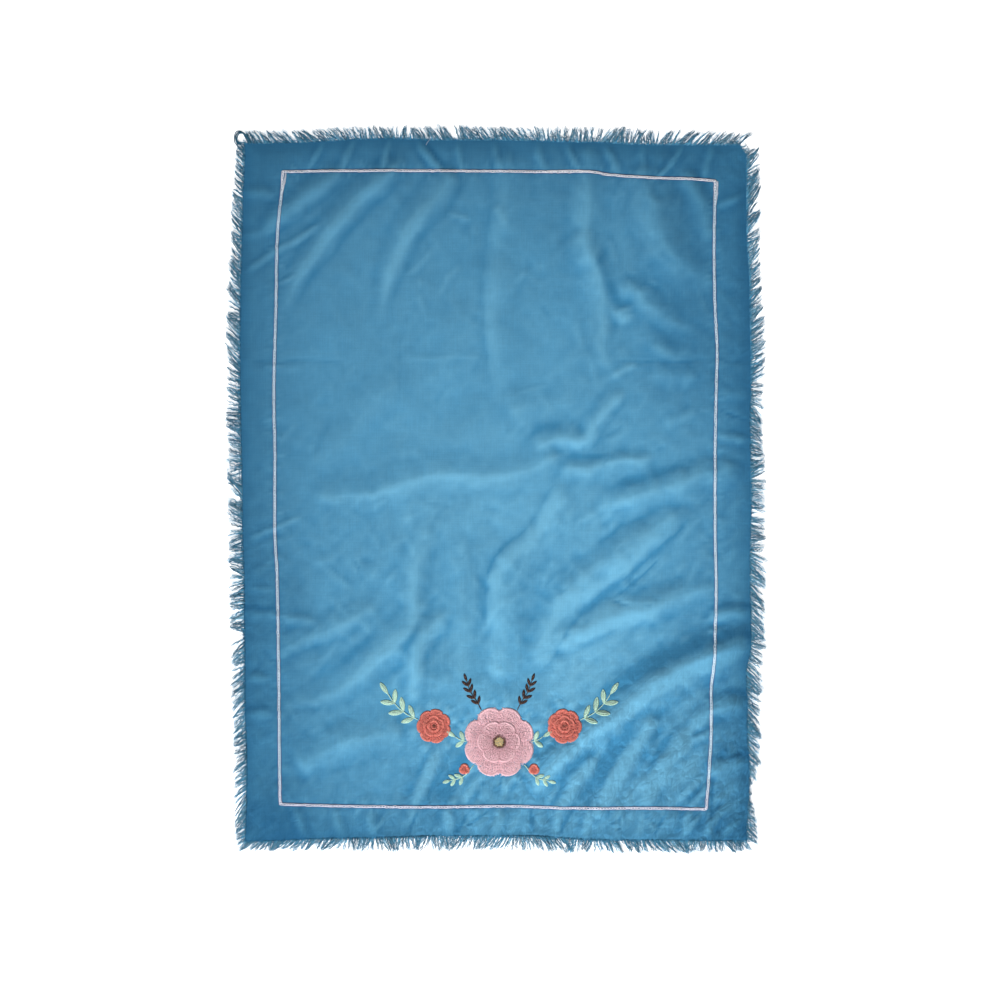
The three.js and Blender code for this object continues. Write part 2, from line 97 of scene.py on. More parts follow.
# The main folds, on those of the part's source: height, spread to the left and to the right of the crest as
# seen from its first point, and the places that the crest runs through, with the share of the height there
# where it isn't all of it. The words after them name a side that is crisp, at the crest or at the foot.
FOLDS = [
    (2.5, 26, 21, [(-176, -5, 0.3), (-145, -5, 0.7), (-119, -6, 0.8), (-97, 1), (-78, 7), (-62, 12),
                   (-30, 13, 0.9), (0, 12.5, 0.9), (25, 14), (38, 20), (50, 29, 0.8),
                   (66, 35, 0.3)], "left crest", "right crest"),
    (2.7, 18, 11, [(34, 34, 0.5), (48, 44, 0.8), (66, 47), (85, 46), (95, 58, 0.9), (105, 71, 0.9),
                   (117, 84, 0.7), (125, 98, 0.3)], "right crest"),
    (2.2, 12, 18, [(56, 22, 0.4), (84, 20, 0.9), (105, 24), (125, 27),
                   (158, 31, 0.4)], "left crest", "right crest"),
    (1.7, 24, 28, [(6, 66, 0.5), (24, 76), (46, 80, 0.8), (66, 83, 0.4), (84, 88, 0.1)]),
    (2.5, 22, 26, [(89, 334, 0.6), (89, 300, 0.9), (89, 268), (88, 240, 0.9), (89, 222, 0.6),
                   (92, 206, 0.2)], "left crest"),
    (2.5, 17, 26, [(85, 252, 0.3), (88, 236, 0.9), (92, 220), (98, 203), (101, 187, 0.8), (103, 168, 0.7),
                   (104, 148, 0.6), (106, 126, 0.4), (109, 108, 0.1)]),
    (1.4, 11, 10, [(107, 178, 0.2), (113, 168, 0.8), (121, 163), (130, 164, 0.9), (138, 168, 0.3)]),
    (1.7, 30, 14, [(12, 326, 0.5), (10, 292, 0.9), (9, 262), (5, 235, 0.8), (2, 205, 0.9), (1, 170, 0.9),
                   (3, 136, 0.8), (4, 116, 0.5), (6, 94, 0.25), (9, 70, 0.05)], "right foot"),
    (4, 16, 20, [(-84, 316, 0.4), (-107, 294, 0.9), (-129, 275), (-148, 254), (-163, 235, 0.9),
                 (-178, 214, 0.7), (-192, 190, 0.4), (-200, 164, 0.1)]),
    (3.3, 16, 21, [(-38, 310, 0.4), (-50, 286, 0.9), (-66, 265), (-79, 246), (-90, 226, 0.9),
                   (-99, 206, 0.6), (-105, 184, 0.3), (-108, 156, 0.15)]),
    (2.8, 14, 18, [(-140, 308, 0.4), (-161, 291, 0.9), (-180, 276), (-201, 262, 0.9), (-224, 242, 0.4)]),
    (3.6, 29, 31, [(134, 312, 0.4), (145, 282, 0.9), (152, 257), (160, 237), (172, 219, 0.9),
                   (188, 204, 0.6), (212, 188, 0.3)]),
    (2.4, 16, 16, [(175, 308, 0.4), (187, 287, 0.9), (196, 267), (203, 246, 0.7), (207, 228, 0.3)]),
    (1.9, 18, 15, [(112, 192, 0.3), (134, 186, 0.9), (149, 174), (161, 163, 0.9), (176, 154, 0.5),
                   (194, 147, 0.1)]),
    (1.5, 18, 33, [(142, 136, 0.5), (164, 131), (192, 128, 0.4)]),
    (1.2, 24, 28, [(-84, 106, 0.5), (-118, 82), (-142, 47), (-176, 16, 0.4)]),
    (4, 21, 24, [(92, -20, 0.2), (118, -12, 0.7), (142, -3), (165, 3), (186, 9), (214, 17, 0.6),
                 (236, 22, 0.2)]),
    (4.4, 19, 24, [(182, -18, 0.3), (160, -31, 0.7), (139, -47, 0.95), (116, -66), (92, -83), (71, -101),
                   (55, -125, 0.8), (44, -150, 0.5), (33, -172, 0.2)], "left foot"),
    (4, 36, 17, [(68, 8, 0.2), (59, -10, 0.35), (51, -27, 0.4), (40, -44, 0.42), (27, -58, 0.5),
                 (15, -71, 0.8), (9, -88), (8, -110), (8, -140, 0.9), (6, -165, 0.7),
                 (3, -188, 0.3)], "right foot"),
    (4.2, 17, 22, [(214, -91, 0.2), (190, -98, 0.5), (168, -106, 0.9), (148, -113), (124, -119), (98, -128),
                   (76, -139, 0.9), (54, -153, 0.4)]),
    (9.4, 29, 30, [(270, -132, 0.5), (240, -144, 0.8), (207, -156), (182, -167), (156, -181), (137, -195),
                   (116, -213), (94, -230), (70, -249, 0.9), (54, -268, 0.7),
                   (35, -293, 0.3)], "left crest", "right crest"),
    (4.3, 21, 24, [(-60, -30, 0.2), (-70, -58, 0.45), (-75, -84, 0.6), (-77, -105, 0.7), (-76, -121, 0.85),
                   (-82, -136), (-96, -149), (-111, -162, 0.9), (-128, -176, 0.7), (-148, -189, 0.5),
                   (-175, -199, 0.25), (-208, -204, 0.1)]),
    (3.4, 14, 16, [(-42, -114, 0.3), (-58, -130, 0.9), (-70, -145), (-76, -161), (-75, -181, 0.8),
                   (-78, -208, 0.3)]),
    (1.3, 18, 20, [(-31, -42, 0.5), (-32, -100), (-30, -150), (-35, -186, 0.5)]),
    (2.3, 13, 20, [(-104, -108, 0.4), (-140, -127), (-157, -134), (-179, -141), (-216, -160, 0.5)]),
    (3.5, 24, 28, [(-80, -230, 0.6), (-122, -236), (-158, -248), (-194, -268, 0.5)]),
    (-3, 17, 15, [(-24, -234, 0.4), (-34, -252, 0.9), (-44, -270), (-53, -288), (-61, -306, 0.8),
                  (-69, -340, 0.3)]),
    (1.8, 8, 9, [(-50, -246, 0.4), (-60, -262, 0.9), (-69, -280), (-77, -300, 0.7), (-88, -334, 0.4)]),
    (4.6, 16, 20, [(152, -208, 0.3), (141, -232, 0.9), (128, -253), (114, -275), (102, -298, 0.6),
                   (94, -320, 0.3)]),
    (3.5, 14, 14, [(192, -220, 0.3), (177, -240, 0.9), (163, -260), (150, -282, 0.8), (140, -306, 0.4)]),
    (3.5, 14, 14, [(105, -250, 0.3), (90, -262, 0.9), (78, -276), (68, -294, 0.8), (60, -314, 0.4)]),
    (3.4, 12, 14, [(270, -116, 0.7), (222, -118), (196, -124, 0.5)]),
    (3.6, 15, 15, [(270, -203, 0.7), (215, -207), (182, -231, 0.5)]),
    (3.4, 15, 15, [(270, -261, 0.7), (222, -263), (196, -272, 0.5)]),
    (1.7, 46, 46, [(-120, 60, 0.1), (-80, 90, 0.6), (-40, 130), (20, 220, 0.2)]),
    (2.2, 40, 40, [(-150, -90, 0.1), (-110, -140, 0.7), (-60, -180), (60, -210, 0.3)]),
]

# Painted highlights along the lit sides of folds, and painted shade on their dark sides, in hollows and over
# broad patches. The columns are those of the folds, with a share of lightening in place of a height.
PAINTED_LIGHT_PLACES = [
    (0.3, 7, 9, [(-98, 294, 0.6), (-125, 277), (-145, 258), (-161, 236), (-178, 212, 0.8),
                 (-194, 186, 0.3)]),
    (0.28, 8, 10, [(-48, 292, 0.6), (-64, 270), (-78, 248), (-90, 226, 0.9), (-101, 202, 0.6),
                   (-107, 178, 0.25)]),
    (0.3, 6, 6, [(-158, 286), (-178, 272), (-198, 258)]),
    (0.22, 4, 26, [(88, 300, 0.5), (88, 270), (88, 240), (88, 222, 0.5)]),
    (0.13, 6, 24, [(92, 220, 0.5), (99, 198), (102, 170), (105, 138, 0.5)]),
    (0.14, 9, 9, [(80, 300, 0.6), (79, 262), (80, 226, 0.6)]),
    (-0.4, 8, 7, [(96, 228), (100, 212), (106, 196), (112, 182), (122, 171)]),
    (0.2, 5, 5, [(114, 160, 0.5), (124, 162), (134, 168, 0.5)]),
    (0.1, 7, 7, [(116, 186, 0.5), (136, 178), (148, 166), (164, 155, 0.5)]),
    (-0.2, 8, 8, [(156, 144), (166, 139), (176, 133)]),
    (0.2, 14, 3, [(-11, 207, 0.4), (-10, 190), (-8, 160), (-6, 135, 0.8), (-4, 98, 0.2)]),
    (0.18, 3, 10, [(9, 298, 0.5), (10, 262), (9, 236, 0.4)]),
    (0.22, 13, 13, [(134, 292), (139, 265), (146, 243), (160, 218), (184, 200)]),
    (-0.3, 11, 11, [(30, 52), (46, 60), (66, 54)]),
    (0.34, 7, 8, [(60, -4, 0.3), (55, -18), (47, -33), (36, -48), (22, -60), (10, -70), (2, -84, 0.8),
                  (-2, -104, 0.3)]),
    (0.3, 15, 4, [(2, -70, 0.3), (-5, -90), (-8, -118), (-8, -143), (-10, -180, 0.5)]),
    (0.25, 3, 18, [(-170, -7, 0.6), (-140, -7, 0.8), (-112, -6, 0.7), (-97, 2), (-60, 12), (-28, 13),
                   (0, 12.5), (30, 12, 0.6)]),
    (0.2, 8, 3, [(40, 32, 0.5), (60, 38), (86, 37), (98, 53), (120, 80, 0.6)]),
    (-0.4, 4, 5, [(60, 30, 0.5), (94, 31), (132, 29, 0.5)]),
    (-0.12, 13, 13, [(32, -74), (26, -110), (22, -150), (16, -176)]),
    (0.2, 9, 13, [(-75, -50, 0.6), (-79, -80), (-81, -108), (-82, -126, 0.7)]),
    (0.5, 8, 12, [(-82, -128, 0.6), (-91, -139), (-107, -156), (-126, -174, 0.8), (-148, -191, 0.3)]),
    (0.28, 13, 3, [(-47, -128, 0.5), (-62, -142), (-75, -155), (-78, -175, 0.8), (-80, -198, 0.3)]),
    (-0.75, 6, 6, [(-72, -124, 0.4), (-74, -134), (-81, -146), (-88, -157, 0.5)]),
    (0.34, 3, 13, [(168, -32, 0.4), (151, -48), (136, -64), (117, -82), (97, -97, 0.5)]),
    (0.36, 11, 3, [(86, -80, 0.4), (72, -96), (62, -107), (49, -134), (34, -163, 0.5)]),
    (-0.3, 10, 10, [(150, -90), (112, -96), (84, -124)]),
    (0.24, 7, 7, [(165, -115), (124, -127), (98, -136), (66, -152)]),
    (0.8, 17, 4, [(268, -146, 0.4), (240, -149, 0.6), (206, -160, 0.9), (155, -184), (122, -208),
                  (98, -225, 0.7), (58, -260, 0.3)]),
    (0.65, 9, 5, [(214, -160, 0.4), (178, -177), (148, -193), (120, -214), (100, -229, 0.5)]),
    (-0.85, 11, 11, [(96, -198), (124, -181), (155, -162), (187, -149), (208, -138)]),
    (-0.65, 10, 9, [(200, -140), (236, -138), (268, -144)]),
    (-0.6, 7, 7, [(212, -190), (268, -197)]),
    (-0.6, 7, 7, [(208, -257), (268, -247)]),
    (-0.5, 6, 6, [(200, -114), (268, -109)]),
    (-0.8, 11, 11, [(-24, -244), (-34, -262), (-46, -280), (-56, -300)]),
    (0.3, 5, 8, [(-52, -250, 0.5), (-61, -266), (-69, -284), (-78, -302, 0.5)]),
    (-0.6, 6, 7, [(133, -216), (122, -240), (108, -266), (96, -294)]),
    (-0.5, 5, 6, [(170, -226), (156, -250), (142, -276)]),
    (-0.5, 12, 12, [(232, -312), (242, -328), (262, -344)]),
    (-0.35, 5, 6, [(33, -303), (35, -316), (35, -332)]),
    (-0.35, 7, 7, [(-28, -305), (-34, -318), (-42, -334)]),
    (-0.35, 6, 6, [(72, -306), (64, -320), (60, -334)]),
    (-0.3, 6, 6, [(118, -306), (114, -320), (116, -334)]),
    (-0.3, 5, 6, [(-76, -304), (-82, -318), (-86, -334)]),
    (0.3, 6, 6, [(24, -306), (18, -320), (10, -332)]),
    (0.3, 7, 7, [(92, -306), (88, -320), (84, -334)]),
    (-0.5, 5, 5, [(-262, -111), (-202, -114)]),
    (-0.4, 6, 6, [(-262, -210), (-208, -207)]),
    (-0.3, 8, 8, [(106, 0), (140, 9), (182, 24)]),
    (-0.25, 12, 12, [(-176, -176), (-140, -160), (-108, -138)]),
    (0.3, 4, 4, [(-199, 227), (-180, 238), (-161, 249)]),
    (0.3, 3, 3, [(-206, 200), (-186, 214)]),
    (0.34, 62, 62, [(130, -96), (92, -150), (60, -210)]),
    (0.1, 40, 40, [(-80, -110), (-40, -150), (10, -190)]),
    (0.5, 36, 36, [(96, -296), (146, -280), (200, -250)]),
    (0.12, 26, 26, [(-30, -318), (60, -322), (150, -318)]),
    (0.3, 24, 24, [(196, -180), (180, -240), (168, -286)]),
    (-0.2, 60, 60, [(150, 230), (176, 160), (160, 96)]),
    (-0.4, 40, 40, [(-236, -296), (-204, -322), (-168, -326)]),
    (0.16, 70, 70, [(-110, -20), (-30, -16), (50, -20), (110, -32)]),
    (0.1, 26, 26, [(-104, 58), (-20, 50), (30, 50)]),
    (0.2, 24, 30, [(232, -50), (232, -110), (230, -170), (232, -212)]),
    (0.45, 19, 19, [(222, -262), (221, -292), (219, -318)]),
    (-0.2, 26, 30, [(234, 300), (236, 200), (234, 60), (234, -10, 0.3)]),
    (-0.12, 30, 30, [(-100, -262), (-60, -300), (-20, -300)]),
    (-0.1, 34, 34, [(-26, 276), (-22, 196)]),
    (-0.1, 40, 40, [(56, 276), (66, 150)]),
]

# The finer creases, in the columns of the folds. A height under zero is a trough.
CREASES = [
    (-0.42, 3.5, 3.5, [(-236, 120), (-186, 121), (-136, 121.5)]),
    (0.45, 4, 4, [(-88, 124.5), (-40, 124.5), (-8, 124)]),
    (-0.5, 3.5, 3.5, [(108, 121), (180, 122), (246, 121)]),
    (-0.2, 3.5, 3.5, [(-89, 150), (-89, 118), (-93, 66)]),
    (1.1, 5, 6, [(-240, 202), (-203, 230), (-160, 254)]),
    (0.8, 4, 4, [(-206, 193), (-186, 205)]),
    (0.7, 5, 5, [(-48, 263), (-20, 254)]),
    (1, 7, 7, [(109, 105), (138, 122)]),
    (1.4, 13, 15, [(140, 108), (196, 106)]),
    (0.9, 5, 5, [(115, 167), (136, 172)]),
    (0.5, 11, 9, [(142, 150), (158, 133), (174, 126)]),
    (0.6, 9, 9, [(152, 60), (196, 74)]),
    (-0.8, 3, 3, [(110, -108), (133, -88), (160, -64)]),
    (-0.8, 3, 3, [(102, -106), (130, -113), (157, -110)]),
    (1, 6, 6, [(206, 264), (240, 281)]),
    (1.3, 7, 7, [(205, 54), (256, 42)]),
    (0.9, 8, 8, [(206, 93), (250, 88)]),
    (-0.7, 3, 3, [(210, 77), (248, 64)]),
    (1, 4, 5, [(-240, -49), (-208, -38), (-178, -25)]),
    (0.8, 4, 4, [(-246, -95), (-200, -96)]),
    (1, 8, 9, [(-258, -120), (-205, -121), (-162, -128)]),
    (1.4, 8, 8, [(-252, -184), (-208, -179)]),
    (2, 9, 9, [(-256, -216), (-206, -212)]),
    (1.2, 9, 9, [(-252, 282), (-206, 279)]),
    (0.8, 7, 7, [(-250, 236), (-204, 247)]),
    (0.35, 4, 4, [(-60, -132), (-62, -192)]),
    (0.3, 4, 4, [(-48, -122), (-50, -186)]),
    (0.4, 5, 5, [(-20, -64), (-21, -150)]),
    (1.1, 5, 5, [(168, -299), (200, -269)]),
    (1, 5, 5, [(180, -305), (210, -276)]),
    (1.2, 6, 6, [(158, -268), (188, -239), (212, -231)]),
    (1, 5, 5, [(64, -276), (48, -304)]),
    (-1.2, 12, 12, [(-18, -240), (-38, -268), (-50, -292)]),
    (1.2, 7, 7, [(-8, -268), (-24, -284), (-30, -300)]),
    (1, 6, 6, [(22, -266), (12, -284), (8, -298)]),
    (1.3, 4, 5, [(-160, 342), (-176, 300)]),
    (1.6, 6, 7, [(-130, 342), (-147, 298)]),
    (1.6, 5, 6, [(-97, 342), (-107, 298)]),
    (1.7, 6, 7, [(-76, 340), (-62, 314), (-44, 298)]),
    (1.2, 5, 5, [(-37, 342), (-31, 297)]),
    (1.1, 5, 6, [(-6, 342), (8, 297)]),
    (1.2, 6, 7, [(36, 341), (48, 297)]),
    (1.5, 5, 6, [(62, 341), (83, 296)]),
    (1.4, 7, 7, [(100, 340), (121, 294)]),
    (0.9, 6, 6, [(138, 340), (142, 292)]),
    (1.7, 3.5, 4, [(184, 334), (160, 301), (147, 290)]),
    (1.2, 6, 6, [(208, 334), (196, 289)]),
    (1.2, 8, 8, [(-190, -296), (-178, -342)]),
    (1.2, 8, 8, [(-152, -296), (-145, -342)]),
    (1.4, 8, 7, [(-120, -298), (-115, -342)]),
    (1.9, 7, 8, [(-45, -298), (-41, -342)]),
    (1.8, 8, 8, [(4, -298), (2, -342)]),
    (-0.8, 3, 3, [(34, -300), (36, -340)]),
    (1.3, 6, 6, [(62, -299), (57, -342)]),
    (1.6, 5, 6, [(90, -297), (87, -344)]),
    (1.1, 7, 6, [(117, -299), (114, -344)]),
    (1.1, 5, 5, [(139, -299), (136, -344)]),
    (1.9, 8, 7, [(184, -297), (177, -344)]),
    (1.3, 6, 6, [(206, -299), (202, -344)]),
    (-1.3, 3.2, 3.6, [(208, -262), (207, -290), (208, -338)]),
    (1.7, 5, 6, [(193, -338), (205, -320), (219, -304), (236, -295)]),
    (1.3, 4, 5, [(174, -332), (186, -318), (198, -306)]),
    (1.3, 4, 5, [(214, -336), (224, -322), (238, -314)]),
    (-1.1, 3, 3.4, [(35, -304), (37, -314), (36, -328)]),
    (-1, 3.2, 3.2, [(-26, -305), (-32, -318), (-40, -332)]),
    (-0.9, 3, 3, [(-4, -304), (-18, -314), (-34, -322)]),
    (-1, 3, 3.4, [(-74, -303), (-80, -316), (-84, -332)]),
    (-0.9, 3, 3, [(74, -306), (66, -318), (62, -332)]),
    (-1, 3, 3.2, [(121, -305), (117, -318), (120, -334)]),
    (-0.9, 3, 3.2, [(163, -305), (156, -318), (150, -334)]),
    (1, 3.4, 3.4, [(-102, -306), (-110, -318), (-122, -328)]),
    (0.9, 3.2, 3.2, [(134, -312), (146, -318), (158, -328)]),
]

# The stitched border line, corner by corner, with the places where its seam wanders.
BORDER_TOP = [(-201.4, 301.2), (-137.8, 302.1), (-42.8, 302.1), (52.3, 301.2), (90.3, 301.2),
              (109.3, 298.3), (147.3, 295.5), (185.3, 294.5), (209, 292.6)]
BORDER_RIGHT = [(209, 292.6), (208, 227), (209, 170), (210.9, 132), (210, 94), (209, 37), (209, -39),
                (210, -96), (209, -134), (207.1, -172), (205.2, -191), (205.2, -229), (203.3, -267),
                (200.5, -304)]
BORDER_BOTTOM = [(200.5, -304), (147.3, -303), (71.3, -303), (14.3, -301.2), (-61.8, -302.1),
                 (-137.8, -301.2), (-175.8, -300.2), (-203.3, -299.3)]
BORDER_LEFT = [(-203.3, -299.3), (-204.3, -286), (-205.2, -191), (-206.2, -115), (-207.1, -77), (-209, -39),
               (-209, 37), (-210, 94), (-208, 170), (-207.1, 227), (-206.2, 246), (-204.3, 265),
               (-202.4, 284), (-201.4, 301.2)]
BORDER_LINES = [BORDER_TOP, BORDER_RIGHT, BORDER_BOTTOM, BORDER_LEFT]
# Short second rows, where the line was begun or mended.
BORDER_EXTRAS = [
    [(-198.6, 300), (-199.8, 291), (-202.2, 281)],
    [(211.2, 292), (211, 282), (209.4, 270)],
    [(46, 301.5), (60, 302.1), (76, 302.3), (92, 301.3)],
]

# The fringe on each side: the way that it points, where it begins and ends, the places where it is bare and
# how plentiful its short yarns are. Then, at places along the side, how far it stands out, and how far it
# leans along the side for each millimetre of that.
FRINGES = {
    "fringe_top": {
        "out": (0, 1), "span": (-238.6, 231.6), "bare": [-202, -237.5], "shorts": 1.7,
        "reach": [(-240, 10), (-226, 12), (-142, 11.2), (-101, 11.4), (-59, 12.8), (46, 13), (87, 14),
                  (129, 14), (171, 13), (213, 12), (232, 11)],
        "slant": [(-236, 0), (-225, -0.8), (-190, -1.1), (-150, -0.5), (-60, -0.5), (0, -0.8), (30, -1),
                  (60, 0), (90, 0.2), (150, 0.5), (190, 0.9), (220, 0.9), (232, 1.2)],
    },
    "fringe_bottom": {
        "out": (0, -1), "span": (-237.6, 239.6), "bare": [118], "shorts": 2.2,
        "reach": [(-238, 6.6), (-226, 9.2), (-160, 10.8), (-101, 13.4), (-65, 14.8), (0, 14.6), (67, 14.4),
                  (140, 12.6), (213, 12.4), (240, 10.6)],
        "slant": [(-230, -1), (-150, -0.7), (-110, 0), (-60, 0), (-20, -0.6), (10, -0.6), (40, 0.5),
                  (80, -0.1), (110, 0.5), (160, 0.8), (190, 0), (240, 0.6)],
    },
    "fringe_left": {
        "out": (-1, 0), "span": (-334.6, 328), "bare": [13, -139], "shorts": 0.9,
        "reach": [(-335, 8), (-320, 10), (-274, 11.4), (-180, 12.4), (-100, 14), (-23, 13.6), (40, 14),
                  (123, 12.4), (150, 12), (250, 10), (312, 8.2), (328, 7)],
        "slant": [(-335, -0.6), (-300, -1), (-250, -0.7), (-200, -0.8), (-150, -0.8), (-120, 0), (-60, 0),
                  (-10, 0.6), (20, 0.5), (60, 0.2), (113, 0.8), (150, 0.8), (190, 1.1), (300, 1.1),
                  (330, 0.5)],
    },
    "fringe_right": {
        "out": (1, 0), "span": (-334, 325), "bare": [-23, -272, -283, -293], "shorts": 1.5,
        "reach": [(-335, 10), (-312, 10.5), (-300, 6), (-292, 2.6), (-276, 2.6), (-268, 7), (-250, 11),
                  (-221, 12.6), (-169, 14.6), (-100, 13.7), (-65, 14.2), (0, 13.7), (61, 12.4), (123, 13.6),
                  (197, 11), (248, 11.6), (300, 12), (315, 11), (320, 7), (325, 6)],
        "slant": [(-334, -0.7), (-310, -1.1), (-250, -1.1), (-200, -0.9), (-130, -0.7), (-80, -0.7),
                  (-40, -0.2), (0, 0), (40, -0.5), (70, -1), (100, 0), (113, 0.5), (125, 0.3), (140, 0.8),
                  (180, 1), (230, 1.1), (300, 1.1), (317, 0.7)],
    },
}

# Threads that have come loose: half width, dye, and places along them with their height over the surface.
LOOSE_THREADS = [
    (0.22, (0.4, 0.52, 0.66), [(-61.6, 333.4, 2.2), (-62.6, 331, 2.3), (-64.2, 329, 2.4),
                               (-65.4, 326.6, 2.2)]),
    (0.24, (0.02, 0.09, 0.15), [(229, 326, 1.2), (234, 329.5, 1), (238.5, 327, 0.8), (241.5, 321, 0.8),
                                (241, 316, 0.9)]),
    (0.75, (0.016, 0.09, 0.15), [(-233, 328, 1.6), (-235.6, 333.6, 1.6), (-239, 338.2, 1.5),
                                 (-243, 338.8, 1.4), (-246, 335.6, 1.3), (-245.8, 331, 1.3),
                                 (-244, 327, 1.2)]),
    (0.65, (0.03, 0.13, 0.21), [(-232, 328, 1.9), (-234.2, 333, 1.9), (-237.6, 337, 1.8),
                                (-242.4, 337.6, 1.6), (-244.8, 334, 1.5), (-244.6, 330, 1.4),
                                (-241, 326.6, 1.4)]),
    (0.5, (0.02, 0.1, 0.17), [(-234.4, 328, 1.2), (-237.4, 334.4, 1.2), (-240.6, 339.6, 1.1),
                              (-246, 339, 1), (-247.6, 333, 1), (-246.8, 328.6, 1), (-243, 324, 1)]),
]

# Finishes, as linear colours.
MID_BLUE = (0.082, 0.295, 0.485)
# The cloth's colour where the painted shade at its edges darkens it fully.
EDGE_SHADE_BLUE = (0.022, 0.138, 0.268)
YARN_MID = (0.062, 0.275, 0.445)
# Navy yarn, dark enough to stand in for the shade between the fringe's yarns as well.
YARN_NAVY_AND_SHADE = (0.02, 0.115, 0.21)
# Pale yarn, and the colour of the painted highlights along the yarns.
YARN_PALE_AND_GLINT = (0.27, 0.53, 0.68)
LINE_PINK = (0.95, 0.94, 1.0)
LINE_PALE = (0.73, 0.88, 1.0)
LINE_GREY = (0.85, 0.86, 1.0)
# Dark thread along the line's margins, standing in for the shadow there.
MARGIN_SHADOW_DYE = (0.09, 0.095, 0.23)
PETAL_PINK = (0.81, 0.52, 0.585)
PETAL_LIGHT = (0.90, 0.66, 0.715)
PETAL_DEEP = (0.61, 0.33, 0.385)
CORAL = (0.71, 0.19, 0.155)
CORAL_LIGHT = (0.78, 0.30, 0.24)
CORAL_DEEP = (0.40, 0.08, 0.065)
MINT = (0.55, 0.80, 0.66)
MINT_GREY = (0.40, 0.58, 0.49)
TWIG_BROWN = (0.045, 0.02, 0.018)
TWIG_TAN = (0.17, 0.10, 0.07)
EYE_YELLOW = (0.72, 0.56, 0.28)
EYE_BROWN = (0.12, 0.05, 0.035)


def ease(value):
    """Rises smoothly from 0 to 1 as the value goes from 0 to 1."""
    t = np.clip(value, 0.0, 1.0)
    return t * t * (3 - 2 * t)


def rise(place, start, finish):
    """Rises smoothly from 0 to 1 as the place goes from start to finish, which may be the lower one."""
    return ease((place - start) / (finish - start))


def read_table(table, place):
    """Reads a table's second column at a place in its first, easing between the rows."""
    places, values = np.array(table, float).T
    place = np.clip(place, places[0], places[-1])
    row = np.clip(np.searchsorted(places, place), 1, len(places) - 1)
    return values[row - 1] + rise(place, places[row - 1], places[row]) * (values[row] - values[row - 1])


def towards(angle):
    """The direction at an angle."""
    return np.array([math.cos(angle), math.sin(angle)])


def left_of(ahead):
    """The direction to the left of another."""
    return np.array([-ahead[1], ahead[0]])


def smooth_line(points, steps):
    """A smooth line of evenly spaced places through the given ones, and its length."""
    points = np.array(points, float)
    reach = np.vstack([2 * points[0] - points[1], points, 2 * points[-1] - points[-2]])
    t = np.linspace(0, 1, CURVE_STEPS + 1)[:-1, None]
    dense = []
    for a, b, c, d in zip(reach, reach[1:], reach[2:], reach[3:]):
        bend = (2 * a - 5 * b + 4 * c - d) * t**2 + (3 * b - a - 3 * c + d) * t**3
        dense.append(0.5 * (2 * b + (c - a) * t + bend))
    dense = np.vstack(dense + [points[-1:]])
    run = np.concatenate([[0], np.cumsum(np.linalg.norm(np.diff(dense, axis=0), axis=1))])
    even = np.linspace(0, run[-1], steps + 1)
    return np.column_stack([np.interp(even, run, column) for column in dense.T]), run[-1]


def crest_points(crest):
    """The places along a crest, each with its share of the height."""
    return [(*point, 1.0)[:3] for point in crest]


def add_ridge(z, x, y, fold, steps=FOLD_STEPS):
    """Adds one fold or crease to the heights z: a ridge that fades and narrows to both ends."""
    height, left, right, crest, *crisp = fold
    line, length = smooth_line(crest_points(crest), steps)
    widest = max(left, right)
    low = line.min(axis=0) - widest
    high = line.max(axis=0) + widest
    near = (x > low[0]) & (x < high[0]) & (y > low[1]) & (y < high[1])
    px, py = x[near], y[near]
    best = np.full(px.shape, np.inf)
    travelled = np.zeros(px.shape)
    size = np.ones(px.shape)
    on_left = np.zeros(px.shape, bool)
    for i, (start, end) in enumerate(zip(line, line[1:])):
        dx, dy, growth = end - start
        along = np.clip(((px - start[0]) * dx + (py - start[1]) * dy) / (dx * dx + dy * dy), 0, 1)
        off_x = px - start[0] - along * dx
        off_y = py - start[1] - along * dy
        away = np.hypot(off_x, off_y)
        nearer = away < best
        best = np.where(nearer, away, best)
        travelled = np.where(nearer, (i + along) / steps * length, travelled)
        size = np.where(nearer, start[2] + along * growth, size)
        on_left = np.where(nearer, dx * off_y - dy * off_x > 0, on_left)
    fade = min(FOLD_END_LENGTH, length * FOLD_END_SHARE)
    ends = size * ease(travelled / fade) * ease((length - travelled) / fade)
    narrow = FOLD_END_WIDTH + (1 - FOLD_END_WIDTH) * ends
    uneven = 1 + FOLD_SWAY * np.sin(travelled / FOLD_SWAY_LENGTH + line[0][0])
    down = np.minimum(best / (np.where(on_left, left, right) * narrow), 1)

    def section(side):
        """One side of the fold's section, from 1 at the crest down to 0 at the foot."""
        if side + " foot" in crisp:
            share, sharp = CRISP_SHARP, 1 - down**3
        else:
            share = CRISP_SHARP if side + " crest" in crisp else PLAIN_SHARP
            sharp = (1 - down) ** 2
        return share * sharp + (1 - share) * (1 - ease(down))

    z[near] += height * ends * uneven * np.where(on_left, section("left"), section("right"))


def plan_place(across, up):
    """The place on the plan of a point that lies a share across and up the cloth."""
    level = BOTTOM_Y + up * (TOP_Y - BOTTOM_Y)
    left = read_table(LEFT_EDGE, level)
    x = left + across * (read_table(RIGHT_EDGE, level) - left)
    low = read_table(BOTTOM_EDGE, x)
    return x, low + up * (read_table(TOP_EDGE, x) - low)


def cloth_share(x, y):
    """The shares across and up the cloth of a place on the plan."""
    low = read_table(BOTTOM_EDGE, x)
    up = (y - low) / (read_table(TOP_EDGE, x) - low)
    level = BOTTOM_Y + up * (TOP_Y - BOTTOM_Y)
    left = read_table(LEFT_EDGE, level)
    return (x - left) / (read_table(RIGHT_EDGE, level) - left), up


def side_distances(x, y):
    """How far inside the left, right, bottom and top edges a place lies."""
    return (x - read_table(LEFT_EDGE, y), read_table(RIGHT_EDGE, y) - x,
            y - read_table(BOTTOM_EDGE, x), read_table(TOP_EDGE, x) - y)


